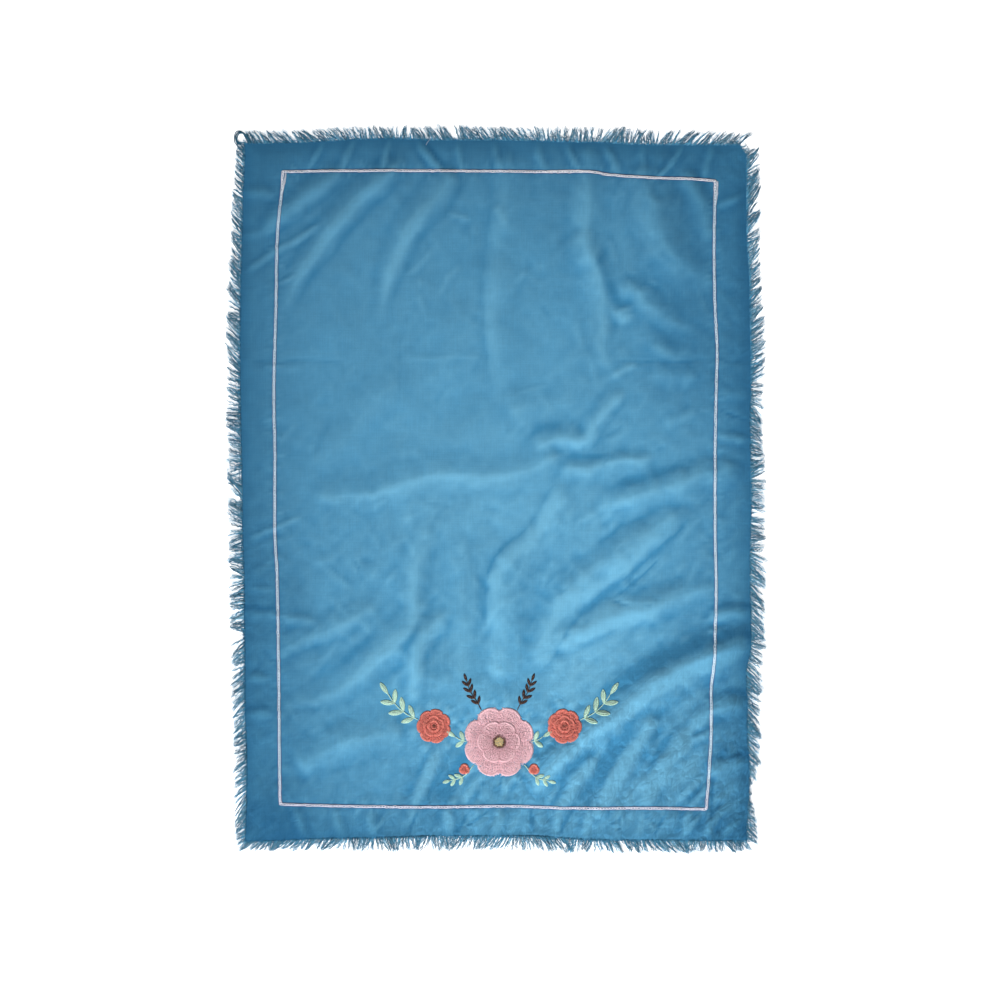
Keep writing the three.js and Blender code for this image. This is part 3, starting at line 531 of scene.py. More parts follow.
# Seeded small creases, which run roughly as the nearest fold does: how many, the area that they are in, their
# length, half width and height, how far they turn from that fold and bow, the steps of their crests, and the
# parts that each fold is taken in to find the nearest.
CREASE_SEED = 11
SMALL_CREASES = 520
SMALL_CREASE_AREA = ((-235, 235), (-328, 326))
SMALL_CREASE_LENGTH = (10, 46)
SMALL_CREASE_WIDTH = (3.8, 7.0)
SMALL_CREASE_HEIGHT = 0.37
SMALL_CREASE_TURN = 0.45
SMALL_CREASE_BOW = 0.2
SMALL_CREASE_STEPS = 3
FOLD_PARTS = 6

# The stitches draw the cloth together: a groove under the border line, and short puckers across it and out
# from the flowers, which are given by their middles from the spray's and their inner and outer radius.
GROOVE_DEPTH = 0.35
GROOVE_WIDTH = 5.0
GROOVE_STEPS = 60
PUCKER_PITCH = 6.0
PUCKER_LENGTH = (5, 14)
PUCKER_WIDTH = (2.2, 3.6)
PUCKER_HEIGHT = 0.5
PUCKER_LEAN = 2.5
SPRAY_MIDDLE = np.array([4.0, -240.0])
SPRAY_PUCKERS = [((0, 0), 33, 46), ((62, 15), 17, 26), ((-62, 15), 17, 26)]
SPRAY_PUCKER_PITCH = 8
SPRAY_PUCKER_WIDTH = (2.6, 4.4)
SPRAY_PUCKER_HEIGHT = (0.3, 1.1)
SPRAY_PUCKER_SWING = 0.12

# Uneven shapes: how far the folds wander, the swell of the whole cloth, and the crumpled look of washed
# cotton, whose creases stand at the top height with dips between them. Each noise has its size, its seed and
# its octaves.
WANDER = 2.6
WANDER_X_NOISE = (42.0, 5.3, 3)
WANDER_Y_NOISE = (42.0, 8.7, 3)
SWELL_HEIGHT = 0.7
SWELL_NOISE = (90.0, 3.1, 2)
CRUMPLE_HEIGHT = 0.42
CRUMPLE_TOP = 0.45
CRUMPLE_DIP = 2.2
CRUMPLE_NOISE = (30.0, 6.4, 4)


def noise_field(x, y, size, seed, octaves):
    """Smooth seeded noise over the plan, with bumps of about the given size."""
    return np.reshape([noise.fractal(Vector((px / size, py / size, seed)), 1.0, 2.0, octaves)
                       for px, py in zip(x.flat, y.flat)], x.shape)


def small_creases(generator):
    """Short, faint creases all over the cloth, plentiful in its lower half and to its right."""
    middles, headings = [], []
    for fold in FOLDS:
        places = smooth_line(crest_points(fold[3]), FOLD_PARTS)[0][:, :2]
        middles += list((places[:-1] + places[1:]) / 2)
        headings += [math.atan2(dy, dx) for dx, dy in np.diff(places, axis=0)]
    middles = np.array(middles)
    rows = []
    while len(rows) < SMALL_CREASES:
        middle = np.array([generator.uniform(*limits) for limits in SMALL_CREASE_AREA])
        plenty = 0.12 + 0.62 * rise(middle[1], 60, -60) + 0.26 * rise(middle[0], -40, 120)
        if generator.uniform() > plenty:
            continue
        nearest = np.argmin(np.hypot(*(middles - middle).T))
        ahead = towards(headings[nearest] + generator.normal(0, SMALL_CREASE_TURN))
        half = generator.uniform(*SMALL_CREASE_LENGTH) / 2
        bow = generator.normal(0, half * SMALL_CREASE_BOW)
        crest = [middle - ahead * half, middle + left_of(ahead) * bow, middle + ahead * half]
        height = SMALL_CREASE_HEIGHT * generator.uniform(0.25, 1) * generator.choice([1, 1, -1])
        rows.append((height, *generator.uniform(*SMALL_CREASE_WIDTH, 2), crest))
    return rows


def stitch_puckers(generator):
    """The short puckers that cross the border line and run out from the embroidered flowers."""
    rows = []
    for line in BORDER_LINES:
        length = smooth_line(line, 1)[1]
        places, _ = smooth_line(line, int(length / PUCKER_PITCH))
        for here, onward in zip(places, places[1:]):
            ahead = (onward - here) / np.linalg.norm(onward - here)
            aside = left_of(ahead)
            middle = here + ahead * generator.uniform(0, PUCKER_PITCH)
            tip = aside * generator.uniform(*PUCKER_LENGTH) + ahead * generator.normal(0, PUCKER_LEAN)
            tail = aside * generator.uniform(*PUCKER_LENGTH) - ahead * generator.normal(0, PUCKER_LEAN)
            height = PUCKER_HEIGHT * generator.uniform(0.2, 1)
            crest = [middle - tail, middle, middle + tip]
            rows.append((height, *generator.uniform(*PUCKER_WIDTH, 2), crest))
    for place, inner, outer in SPRAY_PUCKERS:
        middle = SPRAY_MIDDLE + place
        count = int(FULL_TURN * outer / SPRAY_PUCKER_PITCH)
        for i in range(count):
            angle = (i + generator.uniform(0, 0.8)) / count * FULL_TURN
            swing = angle + generator.normal(0, SPRAY_PUCKER_SWING)
            begin = middle + towards(angle) * (inner - 2)
            finish = middle + towards(swing) * generator.uniform(inner + 6, outer + 4)
            crest = [begin, (begin + finish) / 2, finish]
            rows.append((generator.uniform(*SPRAY_PUCKER_HEIGHT),
                         *generator.uniform(*SPRAY_PUCKER_WIDTH, 2), crest))
    return rows


def cloth_heights(x, y):
    """How far the cloth's underside lifts off the surface at each place."""
    generator = np.random.default_rng(CREASE_SEED)
    near_x = x + WANDER * noise_field(x, y, *WANDER_X_NOISE)
    near_y = y + WANDER * noise_field(x, y, *WANDER_Y_NOISE)
    z = np.full(x.shape, CLOTH_LIFT)
    for fold in FOLDS + CREASES:
        add_ridge(z, near_x, near_y, fold)
    for crease in small_creases(generator) + stitch_puckers(generator):
        add_ridge(z, x, y, crease, SMALL_CREASE_STEPS)
    for line in BORDER_LINES:
        add_ridge(z, x, y, (-GROOVE_DEPTH, GROOVE_WIDTH, GROOVE_WIDTH, line), GROOVE_STEPS)
    z += SWELL_HEIGHT * noise_field(x, y, *SWELL_NOISE)
    plenty = 0.5 + 0.3 * rise(y, 60, -80) + 0.2 * rise(x, 0, 120)
    z += CRUMPLE_HEIGHT * plenty * (CRUMPLE_TOP - CRUMPLE_DIP * np.abs(noise_field(x, y, *CRUMPLE_NOISE)))
    edge = np.min(side_distances(x, y), axis=0)
    share = EDGE_SHARE + (1 - EDGE_SHARE) * ease(edge / FLAT_MARGIN)
    return CLOTH_REST + np.maximum(z, 0.0) * share


across_steps, up_steps = np.meshgrid(np.linspace(0, 1, CLOTH_COLUMNS + 1), np.linspace(0, 1, CLOTH_ROWS + 1))
GRID_X, GRID_Y = plan_place(across_steps, up_steps)
GRID_Z = cloth_heights(GRID_X, GRID_Y)


def cloth_top(x, y):
    """The height of the cloth's upper face at places on the plan, read between its grid's points."""
    across, up = cloth_share(np.asarray(x, float), np.asarray(y, float))
    column = np.clip(across * CLOTH_COLUMNS, 0, CLOTH_COLUMNS - 1e-6)
    row = np.clip(up * CLOTH_ROWS, 0, CLOTH_ROWS - 1e-6)
    i, j = row.astype(int), column.astype(int)
    s, t = row - i, column - j
    low = GRID_Z[i, j] * (1 - t) + GRID_Z[i, j + 1] * t
    high = GRID_Z[i + 1, j] * (1 - t) + GRID_Z[i + 1, j + 1] * t
    return low * (1 - s) + high * s + CLOTH_THICKNESS


def on_cloth(plan, height):
    """The places of a plan, at a height over the cloth's upper face."""
    z = cloth_top(plan[..., 0], plan[..., 1]) + height
    return np.concatenate([plan, z[..., None]], axis=2)


def add_node(tree, kind, inputs=None, **settings):
    """Adds a shader node with its settings, and links or sets its inputs."""
    made = tree.nodes.new(kind)
    for key, value in settings.items():
        setattr(made, key, value)
    for socket, value in (inputs or {}).items():
        if isinstance(value, bpy.types.NodeSocket):
            tree.links.new(value, made.inputs[socket])
        else:
            made.inputs[socket].default_value = value
    return made


def mix_colours(tree, share, low, high, blend="MIX"):
    """A mix of two colours, each a socket or a linear colour."""
    low, high = (colour if isinstance(colour, bpy.types.NodeSocket) else (*colour, 1)
                 for colour in (low, high))
    return add_node(tree, "ShaderNodeMix", {0: share, 6: low, 7: high}, data_type="RGBA",
                    blend_type=blend).outputs[2]


def math_node(tree, operation, *values):
    """One sum on numbers or sockets."""
    return add_node(tree, "ShaderNodeMath", dict(enumerate(values)), operation=operation).outputs[0]


def varied(tree, share, amount):
    """A factor about 1 that varies by the amount as the share goes from 0 to 1."""
    return math_node(tree, "MULTIPLY_ADD", share, amount, 1 - amount / 2)


def new_finish(name, constants):
    """A new material with its constants on the shader's own sockets."""
    finish = bpy.data.materials.new(name)
    finish.use_nodes = True
    shader = finish.node_tree.nodes["Principled BSDF"]
    for socket, value in constants.items():
        shader.inputs[socket].default_value = value
    return finish, finish.node_tree, shader


def cotton_constants(roughness, sheen):
    """The shader's constants for cotton."""
    return {"Roughness": roughness, "Sheen Weight": sheen, "Sheen Roughness": 0.5, "Specular IOR Level": 0.25}


# The cloth's colour: the scale of its blotches and how much they vary it, the stretch of its slubs both ways
# and how much they vary it, and how much the worn crests, painted highlights and painted shade change its
# red, green and blue.
BLOTCH_SCALE = 26.0
BLOTCH_AMOUNT = 0.32
SLUB_STRETCHES = ((40, 900, 1), (900, 40, 1))
SLUB_AMOUNT = 0.4
WEAR_AND_LIGHT_AMOUNTS = (1.1, 0.56, 0.36)

# The cloth's relief: the pitch of its yarns in millimetres, how its fine crinkles are turned and stretched
# and how far they bend, and the depth in metres of crinkles, slubs and weave.
WEAVE_PITCH = 0.62
CRINKLE_TURN = 0.95
CRINKLE_SIZE = (0.02, 0.011, 1.0)
CRINKLE_BEND = (0.7, 0.7, 0)
FACET_SCALES = (0.62, 1.5)
SMALL_FACETS = 0.6
SOFT_CRINKLES = 1.1
CRINKLE_DEPTH = 0.0027
SLUB_DEPTH = 0.0003
WEAVE_DEPTH = 0.00012


def woven_dye(tree, place, slub):
    """The cloth's colour: mottled and slubbed, darker towards its edges by painted shade, lighter and greyer
    on worn crests and painted highlights, and darker in painted shade.
    """
    # Painted shade towards the edges, and worn crests with painted highlights and painted shade along the
    # folds.
    painted_falloff, wear_and_painted_light = (add_node(tree, "ShaderNodeAttribute", attribute_name=name).outputs["Fac"]
                  for name in ("painted_falloff", "wear_and_painted_light"))
    blotch = add_node(tree, "ShaderNodeTexNoise",
                      {"Vector": place, "Scale": BLOTCH_SCALE, "Detail": 4.0,
                       "Roughness": 0.5}).outputs["Fac"]
    value = math_node(tree, "MULTIPLY", varied(tree, blotch, BLOTCH_AMOUNT), varied(tree, slub, SLUB_AMOUNT))
    channels = {i: math_node(tree, "MULTIPLY", value, varied(tree, wear_and_painted_light, amount))
                for i, amount in enumerate(WEAR_AND_LIGHT_AMOUNTS)}
    shade = add_node(tree, "ShaderNodeCombineColor", channels).outputs[0]
    return mix_colours(tree, 1.0, mix_colours(tree, painted_falloff, EDGE_SHADE_BLUE, MID_BLUE), shade, "MULTIPLY")


def woven_relief(tree, place, slub):
    """The relief of the cloth: fine crinkles, slubbed yarns, and the over and under of the plain weave."""
    # The crinkles lie along the lower folds: flat facets with creases between them, and softer ones.
    turned = add_node(tree, "ShaderNodeMapping", {"Vector": place, "Scale": CRINKLE_SIZE,
                                                  "Rotation": (0, 0, CRINKLE_TURN)}, vector_type="TEXTURE")
    soft = add_node(tree, "ShaderNodeTexNoise",
                    {"Vector": turned.outputs[0], "Scale": 1.1, "Detail": 2.0, "Roughness": 0.5})
    bent = add_node(tree, "ShaderNodeVectorMath", {0: soft.outputs["Color"], 1: CRINKLE_BEND,
                                                   2: turned.outputs[0]}, operation="MULTIPLY_ADD")
    facets = [add_node(tree, "ShaderNodeTexVoronoi", {"Vector": bent.outputs[0], "Scale": scale},
                       feature="DISTANCE_TO_EDGE").outputs["Distance"] for scale in FACET_SCALES]
    facet = math_node(tree, "MULTIPLY_ADD", facets[1], SMALL_FACETS, facets[0])
    crumpled = math_node(tree, "MULTIPLY_ADD", soft.outputs["Fac"], SOFT_CRINKLES, facet)
    crinkled = add_node(tree, "ShaderNodeAttribute", attribute_name="crinkled").outputs["Fac"]

    # One yarn to each pitch, both ways.
    separate = add_node(tree, "ShaderNodeSeparateXYZ", {0: place})
    weave = math_node(tree, "MULTIPLY", *(
        math_node(tree, "SINE", math_node(tree, "MULTIPLY", separate.outputs[axis],
                                          math.pi / (WEAVE_PITCH * MM))) for axis in (0, 1)))

    crinkles = add_node(tree, "ShaderNodeBump",
                        {"Height": math_node(tree, "MULTIPLY", crumpled, crinkled), "Strength": 1.0,
                         "Distance": CRINKLE_DEPTH})
    ribs = add_node(tree, "ShaderNodeBump", {"Height": slub, "Strength": 0.5, "Distance": SLUB_DEPTH,
                                             "Normal": crinkles.outputs[0]})
    return add_node(tree, "ShaderNodeBump", {"Height": weave, "Strength": 0.35, "Distance": WEAVE_DEPTH,
                                             "Normal": ribs.outputs[0]}).outputs[0]


def woven_cotton():
    """Plain-woven blue cotton."""
    finish, tree, shader = new_finish("woven_cotton", cotton_constants(roughness=0.88, sheen=0.06))
    place = add_node(tree, "ShaderNodeTexCoord").outputs["Object"]
    slubs = []
    for stretch in SLUB_STRETCHES:
        along = add_node(tree, "ShaderNodeMapping", {"Vector": place, "Scale": stretch})
        slubs.append(add_node(tree, "ShaderNodeTexNoise",
                              {"Vector": along.outputs[0], "Scale": 1.0, "Detail": 3.0}).outputs["Fac"])
    slub = math_node(tree, "MULTIPLY", math_node(tree, "ADD", *slubs), 0.5)
    tree.links.new(woven_dye(tree, place, slub), shader.inputs["Base Color"])
    tree.links.new(woven_relief(tree, place, slub), shader.inputs["Normal"])
    return finish


# Thread: the scale of its flecks and how much they vary its dye, and the depth in metres of its twist.
FLECK_SCALE = 1400.0
FLECK_AMOUNT = 0.5
TWIST_DEPTH = 0.00006


def dyed_thread(name, roughness, sheen, twist):
    """Thread or yarn in its own dye, with its twist as fine slanting ridges along it."""
    finish, tree, shader = new_finish(name, cotton_constants(roughness, sheen))
    dye = add_node(tree, "ShaderNodeAttribute", attribute_name="dye")
    place = add_node(tree, "ShaderNodeTexCoord")
    fleck = add_node(tree, "ShaderNodeTexNoise",
                     {"Vector": place.outputs["Object"], "Scale": FLECK_SCALE, "Detail": 3.0,
                      "Roughness": 0.7})
    value = varied(tree, fleck.outputs["Fac"], FLECK_AMOUNT)
    shade = add_node(tree, "ShaderNodeCombineColor", {0: value, 1: value, 2: value})
    coloured = mix_colours(tree, 1.0, dye.outputs["Color"], shade.outputs[0], "MULTIPLY")
    tree.links.new(coloured, shader.inputs["Base Color"])
    plies = add_node(tree, "ShaderNodeSeparateXYZ", {0: place.outputs["UV"]})
    slant = math_node(tree, "MULTIPLY", plies.outputs[1], twist)
    around = math_node(tree, "MULTIPLY_ADD", plies.outputs[0], 2 * FULL_TURN, slant)
    bump = add_node(tree, "ShaderNodeBump", {"Height": math_node(tree, "SINE", around), "Strength": 0.5,
                                             "Distance": TWIST_DEPTH})
    tree.links.new(bump.outputs[0], shader.inputs["Normal"])
    return finish


# Painted shade darkens the cloth towards its edges, over this distance. The middle and right of the bottom
# edge are as light as if they lay further in, and two regions are darker by a share of painted shade.
PAINTED_FALLOFF_REACH = 45.0
BOTTOM_FURTHER_IN = 26
UPPER_RIGHT_SHADE = 0.38
LOWER_LEFT_SHADE = 0.42
# Just beside the stitched line, painted shadow darkens the cloth a little too.
LINE_MARGIN = 3.4
LINE_SHADOW_DEPTH = 0.35
# How much of a point's height over its neighbours shows in the colour, lighter on crests as worn cotton and
# darker in troughs as painted shade: the neighbours' distance in cells of the mesh, and the share.
CREST_WEAR_AND_HOLLOW_SHADE = ((1, 0.55), (3, 0.5))
# How crinkled the cloth is at its least, how much more at its lower right, and how much more along three of
# its edges, with the distance over which that fades.
CRINKLED_LEAST = 0.08
CRINKLED_LOW = 0.74
CRINKLED_BOTTOM = (0.44, 40)
CRINKLED_LEFT = (0.3, 50)
CRINKLED_RIGHT = (0.26, 40)


def cloth_painted_falloff():
    """How light painted shade leaves the cloth's colour at each point of its grid, from 0 to 1."""
    left, right, bottom, top = side_distances(GRID_X, GRID_Y)
    bottom = bottom + BOTTOM_FURTHER_IN * rise(GRID_X, -165, -15) * rise(GRID_X, 236, 176)
    painted_falloff = np.ones(GRID_X.shape)
    for distance in (left, right, bottom, top):
        painted_falloff *= 1 - np.exp(-np.maximum(distance, 0) / PAINTED_FALLOFF_REACH)
    painted_falloff *= 1 - UPPER_RIGHT_SHADE * rise(GRID_X, 96, 206) * rise(GRID_Y, 40, 100)
    painted_falloff *= 1 - LOWER_LEFT_SHADE * rise(GRID_X, -160, -210) * rise(GRID_Y, -20, -110)
    beside = np.zeros(GRID_X.shape)
    for line in BORDER_LINES:
        add_ridge(beside, GRID_X, GRID_Y, (1.0, LINE_MARGIN, LINE_MARGIN, line), GROOVE_STEPS)
    return painted_falloff * (1 - LINE_SHADOW_DEPTH * np.clip(beside, 0, 1))


def cloth_wear_and_painted_light():
    """How light the cloth's colour is made at each point of its grid: lighter on worn crests and painted
    highlights, darker in troughs and painted shade.
    """
    wear_and_painted_light = np.zeros(GRID_Z.shape)
    rows, columns = GRID_Z.shape
    for reach, share in CREST_WEAR_AND_HOLLOW_SHADE:
        padded = np.pad(GRID_Z, reach, mode="edge")
        around = sum(padded[reach + i:reach + i + rows, reach + j:reach + j + columns]
                     for i, j in ((reach, 0), (-reach, 0), (0, reach), (0, -reach))) / 4
        wear_and_painted_light += (GRID_Z - around) * share
    for place in PAINTED_LIGHT_PLACES:
        add_ridge(wear_and_painted_light, GRID_X, GRID_Y, place)
    return np.clip(0.5 + wear_and_painted_light, 0, 1)


def cloth_crinkles():
    """How crinkled the cloth is: most along its lower edge and at its lower right, least at its top."""
    left, right, bottom = (more * np.exp(-distance / fade) for distance, (more, fade) in zip(
        side_distances(GRID_X, GRID_Y), (CRINKLED_LEFT, CRINKLED_RIGHT, CRINKLED_BOTTOM)))
    low = CRINKLED_LOW * rise(GRID_Y, -100, -290) * rise(GRID_X, -200, 40)
    return CRINKLED_LEAST + low + bottom + left * rise(GRID_Y, 60, -100) + right


def make_cloth():
    """The blue ground: a woven sheet on its folds, with its own thickness."""
    bpy.ops.object.select_all(action="DESELECT")
    bpy.ops.mesh.primitive_grid_add(x_subdivisions=CLOTH_COLUMNS, y_subdivisions=CLOTH_ROWS, size=1)
    sheet = bpy.context.object
    sheet.name = "woven_cloth"
    mesh = sheet.data
    flat = np.empty(len(mesh.vertices) * 3)
    mesh.vertices.foreach_get("co", flat)
    flat = flat.reshape(-1, 3)
    column = np.rint((flat[:, 0] + 0.5) * CLOTH_COLUMNS).astype(int)
    row = np.rint((flat[:, 1] + 0.5) * CLOTH_ROWS).astype(int)
    places = np.column_stack([grid[row, column] for grid in (GRID_X, GRID_Y, GRID_Z)])
    mesh.vertices.foreach_set("co", ((places + TOWEL_SHIFT) * MM).ravel())
    # The first attribute carries painted shade towards the edges, the second worn crests with painted
    # highlights and painted shade along the folds.
    for name, values in (("painted_falloff", cloth_painted_falloff()), ("wear_and_painted_light", cloth_wear_and_painted_light()), ("crinkled", cloth_crinkles())):
        layer = mesh.attributes.new(name, "FLOAT", "POINT")
        layer.data.foreach_set("value", values[row, column])
    mesh.update()

    body = sheet.modifiers.new("thickness", "SOLIDIFY")
    body.thickness = CLOTH_THICKNESS * MM
    body.offset = 1.0
    body.use_even_offset = False
    bpy.ops.object.modifier_apply(modifier=body.name)
    bpy.ops.object.shade_smooth_by_angle(angle=math.radians(60))
    mesh.materials.append(woven_cotton())
    return sheet


def make_threads(name, batches, sides, finish, flatness=1.0):
    """Joins threads into one mesh. A batch is its paths, their half widths and their dyes.

    Paths are (threads, points, 3) in millimetres, half widths (threads, points) and dyes (threads, 3), or
    (threads, points, 3) where they change along a thread.
    """
    corners, faces, maps, colours = [], [], [], []
    start = 0
    turn = np.arange(sides) * (FULL_TURN / sides) + (math.pi / 2 if sides % 2 else math.pi / sides)
    for paths, widths, dyes in batches:
        threads, points = paths.shape[:2]
        along = np.gradient(paths, axis=1)
        along /= np.maximum(np.linalg.norm(along, axis=2, keepdims=True), 1e-9)
        across = np.cross(along, (0, 0, 1))
        across /= np.maximum(np.linalg.norm(across, axis=2, keepdims=True), 1e-6)
        up = np.cross(across, along)
        ring = (across[:, :, None] * np.cos(turn)[:, None]
                + up[:, :, None] * np.sin(turn)[:, None] * flatness)
        corners.append((paths[:, :, None] + ring * widths[:, :, None, None]).reshape(-1, 3))

        number = start + np.arange(threads * points * sides).reshape(threads, points, sides)
        onward = np.roll(number, -1, axis=2)
        skin = np.stack([number[:, :-1], number[:, 1:], onward[:, 1:], onward[:, :-1]], axis=-1)
        faces += skin.reshape(-1, 4).tolist()
        faces += number[:, 0].tolist()
        faces += number[:, -1, ::-1].tolist()
        step = np.linalg.norm(np.diff(paths, axis=1), axis=2)
        run = np.concatenate([np.zeros((threads, 1)), np.cumsum(step, axis=1)], axis=1)
        run = np.repeat(run[:, :, None], sides, axis=2)
        girth = np.broadcast_to(np.arange(sides) / sides, run.shape)
        low = np.stack([girth, run], axis=-1)
        high = np.stack([girth + 1 / sides, run], axis=-1)
        skin_map = np.stack([low[:, :-1], low[:, 1:], high[:, 1:], high[:, :-1]], axis=3)
        maps += [skin_map.reshape(-1, 2), low[:, 0].reshape(-1, 2), low[:, -1, ::-1].reshape(-1, 2)]
        dye = np.ones((threads, points * sides, 4))
        dye[:, :, :3] = dyes[:, None] if dyes.ndim == 2 else np.repeat(dyes, sides, axis=1)
        colours.append(dye.reshape(-1, 4))
        start += threads * points * sides

    mesh = bpy.data.meshes.new(name)
    mesh.from_pydata((np.vstack(corners) + TOWEL_SHIFT) * MM, [], faces, shade_flat=False)
    mesh.uv_layers.new(name="UVMap").data.foreach_set("uv", np.vstack(maps).ravel())
    layer = mesh.color_attributes.new("dye", "FLOAT_COLOR", "POINT")
    layer.data.foreach_set("color", np.vstack(colours).ravel())
    mesh.materials.append(finish)
    mesh.validate()
    piece = bpy.data.objects.new(name, mesh)
    bpy.context.collection.objects.link(piece)
    return piece


# How the fringe's lean and reach change along a side: the distance between changes, and how large they are.
KNOT_PITCH = 10.0
LEAN_CHANGES = 0.36
REACH_CHANGES = (0.9, 1.08)
# Yarns have come down to the surface at this share of their way out.
SETTLED_AT = 0.8


class Side:
    """One side of the cloth, along which its fringe's threads are laid out."""

    def __init__(self, table, seed):
        self.table = table
        self.generator = np.random.default_rng(seed)
        self.first, self.last = table["span"]
        self.sign = sum(table["out"])
        self.runs_across = table["out"][0] == 0
        end = -1 if self.sign > 0 else 0
        grids = (GRID_X[end], GRID_Y[end], GRID_Z[end])
        if not self.runs_across:
            grids = (GRID_Y[:, end], GRID_X[:, end], GRID_Z[:, end])
        self.edge_along, self.edge_place, self.edge_height = grids
        self.knots = np.arange(self.first, self.last + KNOT_PITCH, KNOT_PITCH)
        self.knot_leans = self.generator.normal(0, LEAN_CHANGES, len(self.knots))
        self.knot_reaches = self.generator.uniform(*REACH_CHANGES, len(self.knots))

    def reach_at(self, place):
        """How far the fringe stands out at places along the side."""
        return read_table(self.table["reach"], place) * np.interp(place, self.knots, self.knot_reaches)

    def lean_at(self, place):
        """How far the fringe leans along the side, for each millimetre that it stands out."""
        return read_table(self.table["slant"], place) + np.interp(place, self.knots, self.knot_leans)

    def edge(self, along):
        """The cloth's edge at places along the side."""
        return np.interp(along, self.edge_along, self.edge_place)

    def lift(self, along):
        """The height of the cloth's underside at its edge."""
        return np.interp(along, self.edge_along, self.edge_height)

    def points(self, along, outward, z):
        """Points given by their place along the side, how far they are out of its edge, and their height."""
        place = self.edge(along[:, :1]) + self.sign * outward
        return np.stack([along, place, z] if self.runs_across else [place, along, z], axis=-1)

    def settle(self, along, t, resting):
        """Heights from the cloth's edge down to the surface, at shares t of the way out."""
        root = self.lift(along[:, :1]) + CLOTH_THICKNESS / 2
        return resting + np.maximum(root - resting, 0) * (1 - ease(t / SETTLED_AT))


# The fringe's bundles of yarns: their pitch, their yarns, how far to each side these stand at their roots,
# the share that is kept, and how far to each side of a bare place there are none.
BUNDLE_PITCH = (1.75, 2.75)
BUNDLE_YARNS = 6
BUNDLE_HALF_WIDTH = 1.1
BUNDLES_KEPT = 0.98
BARE_HALF_WIDTH = 2.6
# Neighbours gather in tufts, which close up at their tips: the chance that the next bundle begins one, how
# much of the way to its tuft's middle a tip is drawn, and the furthest.
TUFT_BEGINS = 0.34
TUFT_PULL = (0.05, 0.9)
TUFT_PULL_MOST = 3.6
# A bundle's reach, lean and hook at its tip, the width and length of its curls, and how far its yarns splay:
# the few that splay widely, and the others.
BUNDLE_REACH = (0.88, 1.06)
BUNDLE_LEAN = 0.14
BUNDLE_HOOK = 1.0
CURL_WIDTH = (0.2, 0.85)
CURL_LENGTH = (3.6, 7.5)
WIDE_SPLAYS = 0.3
WIDE_SPLAY = (0.9, 1.5)
CLOSE_SPLAY = (0.35, 0.8)
# A yarn's points, half width and length inside the cloth, how its reach, lean and wave differ from its
# bundle's, how high it lies and rises, and how its width varies and thins towards its tip.
YARN_POINTS = 10
YARN_HALF_WIDTH = 0.29
YARN_ROOT = 1.0
YARN_REACH = (0.76, 1.06)
YARN_LEAN = 0.08
YARN_PHASE = 0.9
YARN_FRIZZ = 0.3
YARN_REST = (0.05, 0.9)
YARN_RISE = 0.35
YARN_WIDTHS = (0.7, 1.25)
YARN_THINNING = 0.45
# The shares of bundles and of yarns that are navy, dark enough to stand in for the shade between yarns too,
# and that are navy or mid blue. The rest are pale. A yarn's dye is mixed of its bundle's and its own, in a
# shade of its own, with painted highlights and painted shade along it.
BUNDLE_DYES = (0.42, 0.9)
YARN_DYES = (0.4, 0.86)
DYE_SHARES = (0.55, 0.45)
YARN_SHADES = (0.6, 1.35)
PAINTED_GLINTS = 0.6
CURL_LIGHT_AND_SHADE = (0.6, 1.4)

# Single yarns between the bundles, and loose fibres: how many for each millimetre, their points, the shares
# of the fringe's reach that they have, half width, sway and dye. Then, for both, how high they lie over the
# surface, how much they thin towards their tips, and their shades.
SHORT_YARNS = (0.9, 3, (0.14, 0.5), 0.26, 0.7, YARN_MID)
FUZZ = (1.2, 4, (0.5, 1.15), 0.09, 2.4, YARN_NAVY_AND_SHADE)
SINGLE_REST = (0.05, 1.1)
SINGLE_THINNING = 0.4
SINGLE_SHADES = (0.6, 1.6)
# Cut ends that lie over the cloth's very edge and make it uneven.
EDGE_HAIRS_FOR_EACH_MM = 1.7
EDGE_HAIR_INSIDE = (0.5, 1.6)
EDGE_HAIR_OUTSIDE = (0.3, 1.9)
EDGE_HAIR_HALF_WIDTH = 0.2
EDGE_HAIR_LEAN = 0.9
EDGE_HAIR_SHADES = (0.55, 1.3)
# Long single yarns that lie along the edge.
STRAY_YARNS = 10
STRAY_STEPS = 40
STRAY_LENGTH = (12, 105)
STRAY_OUTWARD = (0.5, 2.2)
STRAY_WANDER = 0.24
STRAY_LIMITS = (0.3, 5.5)
STRAY_HALF_WIDTH = 0.17
STRAY_SHADES = (0.8, 3.0)


def yarn_dye(picks, shares):
    """Navy, mid blue or pale dye for each pick from 0 to 1."""
    return np.where(picks < shares[0], YARN_NAVY_AND_SHADE, np.where(picks < shares[1], YARN_MID, YARN_PALE_AND_GLINT))


